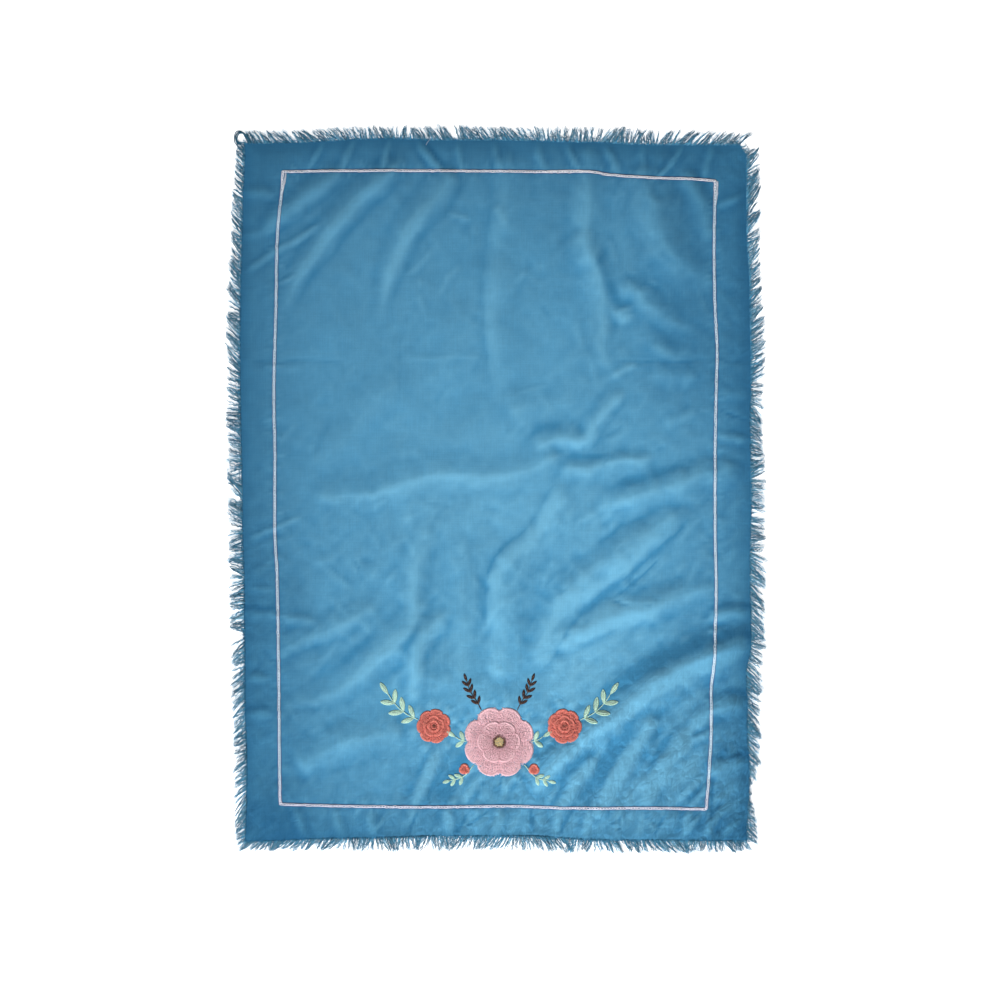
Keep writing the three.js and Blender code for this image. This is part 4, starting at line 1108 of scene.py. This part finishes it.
def bundled_yarns(side):
    """Curly bundles of yarns that lean together."""
    generator = side.generator
    roots = [side.first + 0.4]
    while roots[-1] < side.last:
        roots.append(roots[-1] + generator.uniform(*BUNDLE_PITCH))
    roots = np.array(roots[:-1])
    bare = np.min([np.abs(roots - place) for place in side.table["bare"]], axis=0)
    roots = roots[(bare > BARE_HALF_WIDTH) & (generator.uniform(size=len(roots)) < BUNDLES_KEPT)]
    count = len(roots)
    tuft = np.cumsum(generator.uniform(size=count) < TUFT_BEGINS)
    middles = np.array([roots[tuft == number].mean() for number in tuft])
    drawn = generator.uniform(*TUFT_PULL, tuft.max() + 1)[tuft]
    pull = drawn * np.clip(middles - roots, -TUFT_PULL_MOST, TUFT_PULL_MOST)
    reach = side.reach_at(roots) * generator.uniform(*BUNDLE_REACH, count)
    lean = side.lean_at(roots) + generator.normal(0, BUNDLE_LEAN, count)
    hook = generator.normal(0, BUNDLE_HOOK, count)
    curl = generator.uniform(*CURL_WIDTH, count)
    turns = FULL_TURN * reach / generator.uniform(*CURL_LENGTH, count)
    phase = generator.uniform(0, FULL_TURN, count)
    splay = np.where(generator.uniform(size=count) < WIDE_SPLAYS, generator.uniform(*WIDE_SPLAY, count),
                     generator.uniform(*CLOSE_SPLAY, count))
    bundle_dye = yarn_dye(generator.uniform(size=(count, 1)), BUNDLE_DYES)

    # From here on, one row for each yarn.
    owner = np.repeat(np.arange(count), BUNDLE_YARNS)
    roots, pull, reach, lean, hook, curl, turns, phase, splay = (
        values[owner][:, None] for values in (roots, pull, reach, lean, hook, curl, turns, phase, splay))
    yarns = roots.shape
    t = np.linspace(0, 1, YARN_POINTS)
    aside = generator.uniform(-1, 1, yarns) * BUNDLE_HALF_WIDTH
    reach = reach * generator.uniform(*YARN_REACH, yarns)
    lean = lean + generator.normal(0, YARN_LEAN, yarns)
    wave = curl * (np.sin(turns * t + phase + generator.normal(0, YARN_PHASE, yarns))
                   - np.sin(phase)) * ease(t * 2.5)
    frizz = generator.normal(0, YARN_FRIZZ, yarns) * np.sin(t * generator.uniform(4, 12, yarns)) * t
    along = (roots + aside * (1 - t + splay * t) + lean * reach * t**1.1 + pull * t**1.5 + hook * t**4
             + wave + frizz)
    outward = -YARN_ROOT + (reach + YARN_ROOT) * t
    resting = YARN_HALF_WIDTH + generator.uniform(*YARN_REST, yarns)
    risen = YARN_RISE * (1 + np.sin(turns * t + generator.uniform(0, 6, yarns))) * ease(t * 3)
    paths = side.points(along, outward, side.settle(along, t, resting) + risen)
    widths = YARN_HALF_WIDTH * generator.uniform(*YARN_WIDTHS, yarns) * (1 - YARN_THINNING * t**2)
    own_dye = yarn_dye(generator.uniform(size=yarns), YARN_DYES)
    dyes = DYE_SHARES[0] * bundle_dye[owner] + DYE_SHARES[1] * own_dye
    dyes = dyes * generator.uniform(*YARN_SHADES, yarns)
    # Painted highlights and painted shade along each yarn, in place of the light and shade on its curls:
    # paler spots and darker ones.
    pale = generator.uniform(size=(len(owner), YARN_POINTS, 1)) ** 3 * PAINTED_GLINTS
    dyes = dyes[:, None] * (1 - pale) + np.array(YARN_PALE_AND_GLINT) * pale
    return paths, widths, dyes * generator.uniform(*CURL_LIGHT_AND_SHADE, pale.shape)


def single_yarns(side, kind, plenty=1):
    """Single yarns or fibres that stand at random places along the side."""
    for_each_mm, points, reaches, half_width, sway, dye = kind
    generator = side.generator
    number = int((side.last - side.first) * (for_each_mm * plenty))
    place = generator.uniform(side.first + 0.6, side.last - 0.6, (number, 1))
    t = np.linspace(0, 1, points)
    stand = side.reach_at(place) * generator.uniform(*reaches, (number, 1))
    drift = generator.normal(0, sway, (number, 1)) * t + generator.normal(0, sway / 2, (number, 1)) * t**2
    along = place + side.lean_at(place) * stand * t + drift
    resting = half_width + generator.uniform(*SINGLE_REST, (number, 1))
    paths = side.points(along, (stand + YARN_ROOT) * t - YARN_ROOT, side.settle(along, t, resting))
    widths = np.full((number, points), half_width) * (1 - SINGLE_THINNING * t)
    return paths, widths, np.array(dye) * generator.uniform(*SINGLE_SHADES, (number, 1))


def edge_hairs(side):
    """Cut ends that lie over the cloth's very edge."""
    generator = side.generator
    number = int((side.last - side.first) * EDGE_HAIRS_FOR_EACH_MM)
    place = generator.uniform(side.first + 0.4, side.last - 0.4, (number, 1))
    t = np.linspace(0, 1, 3)
    start = generator.uniform(*EDGE_HAIR_INSIDE, (number, 1))
    stand = generator.uniform(*EDGE_HAIR_OUTSIDE, (number, 1))
    along = place + (generator.normal(0, EDGE_HAIR_LEAN, (number, 1)) + side.lean_at(place) * stand) * t
    over = side.lift(place) + CLOTH_THICKNESS + 0.1 - 0.75 * t**2
    paths = side.points(along, (stand + start) * t - start, np.maximum(over, 0.3))
    widths = np.full(along.shape, EDGE_HAIR_HALF_WIDTH)
    # The cut ends take the colour of the cloth's painted edge shade.
    return paths, widths, np.array(EDGE_SHADE_BLUE) * generator.uniform(*EDGE_HAIR_SHADES, (number, 1))


def stray_yarns(side):
    """Long single yarns that lie along the edge of the cloth."""
    generator = side.generator
    yarns = (STRAY_YARNS, 1)
    starts = generator.uniform(side.first + 3, side.last - 110, yarns)
    along = starts + np.linspace(0, 1, STRAY_STEPS) * generator.uniform(*STRAY_LENGTH, yarns)
    wander = np.cumsum(generator.normal(0, STRAY_WANDER, along.shape), axis=1)
    outward = np.clip(generator.uniform(*STRAY_OUTWARD, yarns) + wander, *STRAY_LIMITS)
    outward += side.edge(along) * side.sign - side.edge(along[:, :1]) * side.sign
    paths = side.points(along, outward, np.maximum(side.lift(along), 0.6) + 0.5)
    widths = np.full(along.shape, STRAY_HALF_WIDTH)
    return paths, widths, np.array(YARN_NAVY_AND_SHADE) * generator.uniform(*STRAY_SHADES, yarns)


def make_fringe(name, table, seed, finish):
    """One frayed side: bundles of yarns, short ones, loose fibres, cut ends and stray yarns."""
    side = Side(table, seed)
    batches = [bundled_yarns(side), single_yarns(side, SHORT_YARNS, table["shorts"]),
               single_yarns(side, FUZZ), edge_hairs(side), stray_yarns(side)]
    return make_threads(name + "_yarns", batches, sides=3, finish=finish)


# The steps of a loose thread.
LOOSE_STEPS = 18


def make_loose_threads(finish):
    """The few single threads that have worked loose at the corners and the top edge."""
    batches = []
    for half_width, dye, places in LOOSE_THREADS:
        path, _ = smooth_line(places, LOOSE_STEPS)
        batches.append((path[None], np.full((1, len(path)), half_width), np.array([dye])))
    return make_threads("loose_threads", batches, sides=5, finish=finish)


# The border line: its chain stitches, which are smaller in its short second rows, and the dark running
# stitches along both its margins, which stand in for the shadow there.
LINE_SEED = 21
LINK_PITCH = 2.7
LINK_LENGTH = 3.5
LINK_HALF_WIDTH = 0.86
LINE_THREAD = 0.46
EXTRA_SCALE = 0.62
MARGIN_OFFSET = 1.65
MARGIN_STITCH = 2.4
MARGIN_THREAD = 0.2
# How far a stitch may lie beside its place.
HAND_UNEVEN = 0.12
# One link of the chain, as shares of its length and half width, and its height over the cloth. Then one
# running stitch, as shares of its length, and its height.
LINK_SHAPE = np.array([
    (0.00, 0.12, -0.10), (0.14, 0.62, 0.26), (0.46, 0.95, 0.38), (0.86, 0.62, 0.42), (1.00, 0.00, 0.50),
    (0.86, -0.62, 0.42), (0.46, -0.95, 0.38), (0.14, -0.62, 0.26), (0.00, -0.12, -0.10),
])
RUNNING_SHAPE = np.array([(-0.1, -0.05), (0.4, 0.16), (0.9, -0.05)])


def line_places(line, pitch):
    """Evenly spaced places along a line with its heading and its sideways direction at each."""
    count = max(2, int(round(smooth_line(line, 1)[1] / pitch)))
    places, _ = smooth_line(line, count)
    ahead = np.diff(places, axis=0)
    ahead /= np.linalg.norm(ahead, axis=1, keepdims=True)
    return places[:-1], ahead, np.column_stack([-ahead[:, 1], ahead[:, 0]])


def line_dye(places):
    """The line's dye: pinker at the towel's top, pale blue down its sides and greyer at its bottom."""
    top = rise(places[:, 1:2], 270, 295)
    bottom = rise(places[:, 1:2], -270, -295)
    side = 1 - top - bottom
    return np.array(LINE_PALE) * side + np.array(LINE_PINK) * top + np.array(LINE_GREY) * bottom


def chain_batch(line, generator, scale=1.0):
    """A row of chain stitches along a line on the cloth. A mended row's are smaller."""
    places, ahead, aside = line_places(line, LINK_PITCH * scale)
    count = len(places)
    places = places + generator.normal(0, HAND_UNEVEN, (count, 2))
    run, spread, height = LINK_SHAPE.T
    size = generator.uniform(0.88, 1.14, (count, 1)) * scale
    plan = (places[:, None] + ahead[:, None] * (run * LINK_LENGTH)[:, None] * size[:, None]
            + aside[:, None] * (spread * LINK_HALF_WIDTH)[:, None] * size[:, None])
    widths = np.full((count, len(run)), LINE_THREAD * scale)
    return on_cloth(plan, height), widths, line_dye(places) * generator.uniform(0.9, 1.03, (count, 1))


def margin_shadow_batch(line, sign, generator):
    """Dark thread in short running stitches along one of the chain's margins, standing in for the shadow
    there.
    """
    places, ahead, aside = line_places(line, MARGIN_STITCH)
    count = len(places)
    places = places + aside * sign * (MARGIN_OFFSET + generator.normal(0, HAND_UNEVEN, (count, 1)))
    run, height = RUNNING_SHAPE.T
    plan = places[:, None] + ahead[:, None] * (run * MARGIN_STITCH)[:, None]
    widths = np.full((count, len(run)), MARGIN_THREAD)
    return on_cloth(plan, height), widths, np.array(MARGIN_SHADOW_DYE) * generator.uniform(0.7, 1.4, (count, 1))


def make_border_line():
    """The stitched line inside the towel's edge, as real chain stitches between two dark threads that stand
    in for its shadow.
    """
    generator = np.random.default_rng(LINE_SEED)
    batches = [chain_batch(line, generator) for line in BORDER_LINES]
    batches += [chain_batch(line, generator, EXTRA_SCALE) for line in BORDER_EXTRAS]
    batches += [margin_shadow_batch(line, sign, generator) for line in BORDER_LINES for sign in (1, -1)]
    finish = dyed_thread("line_thread", roughness=0.6, sheen=0.3, twist=9.0)
    return make_threads("border_line", batches, sides=4, finish=finish, flatness=0.6)


# A straight stitch, as shares of its length and of its height over the cloth: satin and stem stitches, and
# the plainer ones that fill petals.
SATIN_SHAPE = ((0.0, 0.22, 0.5, 0.78, 1.0), (-0.25, 0.75, 1.0, 0.75, -0.25))
FILL_SHAPE = ((0.0, 0.3, 0.7, 1.0), (0.1, 0.95, 0.95, 0.1))
STITCH_HALF_WIDTH = 0.26


class Stitches:
    """Collects straight stitches on the cloth, each from one place to another, over its padding."""

    def __init__(self, seed):
        self.generator = np.random.default_rng(seed)
        self.rows = []

    def add(self, start, end, dye, pad, half_width=STITCH_HALF_WIDTH):
        """One stitch. Its dye varies a little from its neighbours'."""
        dye = np.array(dye) * self.generator.uniform(0.86, 1.12)
        self.rows.append((*start, *end, pad, half_width, *dye))

    def batch(self, shape=SATIN_SHAPE):
        """The stitches as paths, half widths and dyes."""
        rows = np.array(self.rows)
        t, heights = np.array(shape)
        start, end = rows[:, 0:2], rows[:, 2:4]
        plan = start[:, None] * (1 - t)[:, None] + end[:, None] * t[:, None]
        paths = on_cloth(plan, rows[:, 4:5] * heights)
        return paths, np.repeat(rows[:, 5:6], len(t), axis=1), rows[:, 6:9]


def blend(low, high, share):
    """A colour between two others."""
    return np.array(low) * (1 - share) + np.array(high) * share


def polar(middle, angle, radius):
    """The place at an angle and a distance from a middle."""
    return middle + radius * towards(angle)


# The stitches that fill petals: their length, the step from one row to the next, their spacing, how much
# their starts and lengths vary, the shortest, how far they turn, and their height over the cloth, which grows
# by the crown at a petal's middle.
FILL_LENGTH = 3.4
FILL_STEP = 1.9
FILL_SPACING = 0.6
FILL_UNEVEN = 0.9
FILL_LENGTHS = (0.7, 1.15)
FILL_SHORTEST = 1.2
FILL_SWING = 0.05
FILL_PAD = 0.35
FILL_CROWN = 0.75
# The wide stitches under them, and the short ones along the petals' rims.
UNDERLAY_STEP = 1.5
UNDERLAY_STITCH = 3.6
UNDERLAY_HALF_WIDTH = 0.95
UNDERLAY_PAD = 0.15
UNDERLAY_LIFT = 0.6
RIM_LENGTH = 2.8
RIM_SPACING = 0.48
RIM_PAD = 0.62
# Petals are deeper in colour from this share of the way to the notch on.
NOTCH_SHADE = 0.86


def fill_petals(stitches, middle, ring, dyes, sign=1):
    """A ring of round petals, filled with long and short stitches that run out from the middle.

    They lie on wide stitches that run round the ring, so that no cloth shows between them.
    """
    generator = stitches.generator
    outer, inner, petals, turn, sway, notch, lift = ring
    turn += sway * sign
    deep, plain, light = dyes

    def reach_at(angle):
        """The petals' radius at an angle, and the share of the way from a petal's middle to its notch."""
        off = (angle - turn) * petals / FULL_TURN
        off = 2 * abs(off - round(off))
        return outer * (1 - notch + notch * math.sqrt(max(0.0, 1 - off * off))), off

    radius = inner + 0.4
    while radius < outer - 0.6:
        count = int(FULL_TURN * radius / UNDERLAY_STITCH) + 3
        for i in range(count):
            angle = i / count * FULL_TURN
            onward = angle + 2.3 * math.pi / count
            if radius < min(reach_at(angle)[0], reach_at(onward)[0]) - 1.0:
                stitches.add(polar(middle, angle, radius), polar(middle, onward, radius),
                             blend(plain, deep, 0.35), UNDERLAY_PAD + lift * UNDERLAY_LIFT,
                             UNDERLAY_HALF_WIDTH)
        radius += UNDERLAY_STEP

    radius = inner
    while radius < outer:
        count = int(FULL_TURN * radius / FILL_SPACING) + 3
        for i in range(count):
            angle = (i + generator.uniform(0, 1)) / count * FULL_TURN
            reach, off = reach_at(angle)
            begin = radius + generator.uniform(-FILL_UNEVEN, FILL_UNEVEN)
            finish = min(begin + FILL_LENGTH * generator.uniform(*FILL_LENGTHS), reach)
            if finish - begin < FILL_SHORTEST:
                continue
            out = (finish - inner) / max(reach - inner, 1e-6)
            dye = blend(plain, light, max(0.0, out - 0.3)) if off < NOTCH_SHADE else blend(deep, plain, 0.45)
            dye = blend(dye, deep, max(0.0, 0.45 - 1.3 * out) + 0.25 * generator.uniform() ** 4)
            crown = lift + FILL_CROWN * (1 - off**3) * math.sin(math.pi * min(1.0, max(0.0, out)) ** 0.8)
            swing = generator.normal(0, FILL_SWING)
            stitches.add(polar(middle, angle, begin), polar(middle, angle + swing, finish), dye,
                         FILL_PAD + crown)
        radius += FILL_STEP

    count = int(FULL_TURN * outer / RIM_SPACING)
    for i in range(count):
        angle = i / count * FULL_TURN
        reach, off = reach_at(angle)
        dye = blend(plain, light, 0.45) if off < NOTCH_SHADE else blend(deep, plain, 0.6)
        begin = polar(middle, angle, reach - RIM_LENGTH)
        stitches.add(begin, polar(middle, angle, reach), dye, lift + RIM_PAD)


# Leaves' satin stitches, and the two stitches of the vein over them, of which the first is wider.
LEAF_SPACING = 0.5
LEAF_HALF_WIDTH = 0.27
LEAF_PAD = 0.55
VEIN_HALF_WIDTH = 0.3
VEIN_PAD = 0.85


def fill_leaf(stitches, base, heading, length, width, dyes):
    """A pointed leaf in slanting satin stitches on both sides of its vein, over one padding stitch."""
    ahead = towards(heading)
    aside = left_of(ahead)
    edge_dye, inner_dye, vein_dye = dyes
    stitches.add(base + ahead * length * 0.14, base + ahead * length * 0.86, inner_dye, 0.25, width * 0.27)
    count = int(length / LEAF_SPACING)
    for side in (1, -1):
        for i in range(count):
            t = (i + 0.5) / count
            half = width / 2 * math.sin(math.pi * t**0.8) ** 0.75
            rib = base + ahead * (length * t * 0.94)
            margin = base + ahead * min(length, length * t + half * 0.75) + aside * side * max(half, 0.35)
            dye = blend(edge_dye, inner_dye, 0.3 * stitches.generator.uniform())
            stitches.add(rib, margin, dye, LEAF_PAD, LEAF_HALF_WIDTH)
    middle = base + ahead * length * 0.42
    stitches.add(base, middle, vein_dye, VEIN_PAD, VEIN_HALF_WIDTH)
    stitches.add(middle, base + ahead * length * 0.8, vein_dye, VEIN_PAD)


STEM_STITCH = 3.2
STEM_HALF_WIDTH = 0.42
STEM_PAD = 0.55
STEM_PARTS = 40


def fill_stem(stitches, line, dye):
    """A stem in overlapping stem stitches."""
    count = max(2, int(smooth_line(line, 1)[1] / (STEM_STITCH * 0.6)))
    places, _ = smooth_line(line, count)
    for here, onward in zip(places[:-1], places[1:-1]):
        step = onward - here
        aside = left_of(step) / np.linalg.norm(step) * 0.22
        stitches.add(here - aside, here + step * 1.7 + aside, dye, STEM_PAD, STEM_HALF_WIDTH)


def stem_at(line, share):
    """The place and the heading on a stem, at a share of its length."""
    places, _ = smooth_line(line, STEM_PARTS)
    i = min(STEM_PARTS - 1, int(share * STEM_PARTS))
    step = places[i + 1] - places[i]
    return places[i], math.atan2(step[1], step[0])


def leafy_stem(stitches, sprig, dyes, sign):
    """A stem with pairs of leaves along it and one at its tip."""
    line, shares, length, width, opening = sprig
    line = mirrored(line, sign)
    fill_stem(stitches, line, dyes[0])
    for share in shares:
        place, heading = stem_at(line, share)
        size = 1 - 0.12 * abs(2 * share - 0.9)
        for side in (1, -1):
            fill_leaf(stitches, place, heading + side * opening, length * size, width * size, dyes)
    fill_leaf(stitches, *stem_at(line, 0.99), length * 0.92, width * 0.9, dyes)


def knot_batch(places, size, dye, generator):
    """French knots: one small coil of thread at each place."""
    t = np.linspace(0, FULL_TURN, 8)
    count = len(places)
    plan = np.array(places)[:, None] + np.stack([np.cos(t), np.sin(t)], axis=-1) * size
    paths = on_cloth(plan, 0.9 + generator.uniform(0, 0.4, (count, 1)))
    widths = np.full((count, len(t)), size * 0.8)
    return paths, widths, np.array(dye) * generator.uniform(0.8, 1.15, (count, 1))


# The spray, for its right half, on a plan whose origin is the pink flower's middle. The left half mirrors it.
# Rings of petals: outer and inner radius, petals, turn, the sway of it that is mirrored, notch and lift.
PINK_RINGS = [(34, 17, 8, 0.39, 0, 0.2, 0.0), (21, 5, 6, 0.0, 0, 0.2, 0.8)]
CORAL_RINGS = [(16.5, 8.5, 7, 1.57, 0.2, 0.16, 0.0), (10.8, 4.6, 5, 1.57, 0, 0.16, 0.6),
               (6.4, 0.8, 3, 1.57, 0, 0.12, 1.1)]
BUD_RING = (5.4, 0.6, 3, 1.57, 0, 0.22, 0.2)
SIDE_FLOWER = (62, 15)
BUD = (33, -26)
# Leafy stems: the line, the shares of it that bear pairs of leaves, a leaf's length, width and opening.
GREEN_SPRIGS = [
    ([(31, 0), (37, 2), (42, 5)], (0.2,), 10.5, 4.8, 0.9),
    ([(77, 21), (89, 27), (99, 36), (106, 46)], (0.1, 0.42, 0.72), 14.5, 5.4, 0.75),
    ([(24, -22), (34, -33), (47, -37)], (0.55, 0.8), 8.5, 3.6, 0.75),
]
BROWN_TWIG = ([(17, 30), (21, 38), (27, 47), (31, 58)], (0.2, 0.42, 0.64, 0.84), 8.6, 3.0, 0.6)
# Dyes of petals, from the deep to the light one, and of leaves: edge and stem, inside, and vein.
PINKS = (PETAL_DEEP, PETAL_PINK, PETAL_LIGHT)
CORALS = (CORAL_DEEP, CORAL, CORAL_LIGHT)
GREENS = (MINT, MINT_GREY, MINT_GREY)
BROWNS = (TWIG_BROWN, TWIG_BROWN, TWIG_TAN)
# The ring of stitches round the pink flower's eye: how many, from where to where, and their height. Then the
# knots of the eye and of a side flower's heart: how many, how far they spread, and their size.
EYE_STITCHES = 56
EYE_RING = (4.0, 7.4)
EYE_PAD = 1.7
EYE_KNOTS = (34, 0.72, 0.42)
HEART_KNOTS = (9, 0.6, 0.4)
# The turn from one knot to the next, which spreads them evenly.
KNOT_TURN = 2.4
FIRST_STITCH_SEED = 31


def mirrored(points, sign):
    """Half of the spray's points, placed on the towel on the right (1) or the left (-1) side."""
    return [SPRAY_MIDDLE + np.array([sign * x, y]) for x, y in points]


def knot_places(middle, knots):
    """The places of knots that fill a round."""
    count, spread, _ = knots
    return [polar(middle, n * KNOT_TURN, spread * math.sqrt(n + 0.5)) for n in range(count)]


def make_embroidery():
    """A plain festoon of flowers and leaves in a layout of its own, in real stitches."""
    pink, coral, green, brown, centre = (Stitches(FIRST_STITCH_SEED + i) for i in range(5))
    for ring in PINK_RINGS:
        fill_petals(pink, SPRAY_MIDDLE, ring, PINKS)
    for i in range(EYE_STITCHES):
        begin, finish = (polar(SPRAY_MIDDLE, i / EYE_STITCHES * FULL_TURN, radius) for radius in EYE_RING)
        centre.add(begin, finish, EYE_BROWN, EYE_PAD)
    for sign in (1, -1):
        flower, bud = mirrored([SIDE_FLOWER, BUD], sign)
        for ring in CORAL_RINGS:
            fill_petals(coral, flower, ring, CORALS, sign)
        fill_petals(coral, bud, BUD_RING, CORALS)
        for sprig in GREEN_SPRIGS:
            leafy_stem(green, sprig, GREENS, sign)
        leafy_stem(brown, BROWN_TWIG, BROWNS, sign)
    generator = np.random.default_rng(FIRST_STITCH_SEED + 5)
    eye = knot_places(SPRAY_MIDDLE, EYE_KNOTS)
    hearts = []
    for flower in (*mirrored([SIDE_FLOWER], 1), *mirrored([SIDE_FLOWER], -1)):
        hearts += knot_places(flower, HEART_KNOTS)
    finish = dyed_thread("embroidery_thread", roughness=0.6, sheen=0.1, twist=9.0)
    pieces = [make_threads(name, [batch], sides=3, finish=finish, flatness=0.8) for name, batch in (
        ("pink_flower", pink.batch(FILL_SHAPE)), ("coral_flowers", coral.batch(FILL_SHAPE)),
        ("mint_leaves", green.batch()), ("brown_twigs", brown.batch()))]
    eye_batches = [centre.batch(), knot_batch(eye, EYE_KNOTS[2], EYE_YELLOW, generator)]
    heart_batches = [knot_batch(hearts, HEART_KNOTS[2], EYE_BROWN, generator)]
    return [*pieces, make_threads("flower_eyes", eye_batches, sides=4, finish=finish),
            make_threads("flower_hearts", heart_batches, sides=4, finish=finish)]


def add_lamp(name, kind, place, aim, watts, **settings):
    """Adds a lamp of one kind at a place, pointing at another."""
    light = bpy.data.lights.new(name, kind)
    light.energy = watts
    for key, value in settings.items():
        setattr(light, key, value)
    lamp = bpy.data.objects.new(name, light)
    bpy.context.collection.objects.link(lamp)
    lamp.location = place
    lamp.rotation_euler = (Vector(aim) - Vector(place)).to_track_quat("-Z", "Y").to_euler()


def set_stage():
    """A wide pale floor, soft light from the lower left and from overhead, and the camera."""
    bpy.ops.object.select_all(action="DESELECT")
    bpy.ops.mesh.primitive_plane_add(size=60, location=(0, 0, 0))
    floor = bpy.context.object
    floor.name = "floor"
    # The floor is bright enough to show no edge.
    floor.data.materials.append(new_finish("pale_floor", {
        "Base Color": (0.9, 0.9, 0.9, 1), "Roughness": 1.0, "Emission Color": (1, 1, 1, 1),
        "Emission Strength": 0.75})[0])

    panel = {"shape": "RECTANGLE", "size": 1.2, "size_y": 1.2}
    add_lamp("key_light", "AREA", (-1.6, -3.9, 3.06), (0, 0, 0), 290, **panel)
    add_lamp("fill_light", "AREA", (0, 0, 2.2), (0, 0, 0), 7, **panel)
    # A soft round of brighter, warmer light on the towel's lower middle, from the same side as the key light.
    add_lamp("beam_light", "SPOT", (-0.9, -2.17, 1.7), (0.09, -0.14, 0), 280, color=(1.0, 0.9, 0.8),
             spot_size=math.radians(12.5), spot_blend=1.0, shadow_soft_size=0.25)

    world = bpy.data.worlds.new("studio")
    bpy.context.scene.world = world
    world.use_nodes = True
    world.node_tree.nodes["Background"].inputs[0].default_value = (0.93, 0.97, 1.0, 1)
    world.node_tree.nodes["Background"].inputs[1].default_value = 0.15

    view = bpy.data.cameras.new("camera")
    view.lens = LENS
    view.sensor_width = SENSOR
    view.clip_end = 100
    camera = bpy.data.objects.new("camera", view)
    bpy.context.collection.objects.link(camera)
    distance = PHOTO_HEIGHT * PIXEL_SIZE * LENS / SENSOR
    camera.location = tuple((np.array([*VIEW_MIDDLE, distance]) + TOWEL_SHIFT) * MM)
    bpy.context.scene.camera = camera
    bpy.context.scene.view_settings.view_transform = "Standard"


set_stage()

cloth = make_cloth()
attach(cloth, "root")
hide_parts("cloth")

FIRST_FRINGE_SEED = 41
yarn = dyed_thread("frayed_yarn", roughness=0.9, sheen=0.05, twist=7.0)
for seed, (name, table) in enumerate(FRINGES.items(), FIRST_FRINGE_SEED):
    fringe = make_fringe(name, table, seed, yarn)
    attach(fringe, "root")
    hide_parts(name)

loose_threads = make_loose_threads(yarn)
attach(loose_threads, "root")

stitched = [make_border_line(), *make_embroidery()]
for piece in stitched:
    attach(piece, "root")
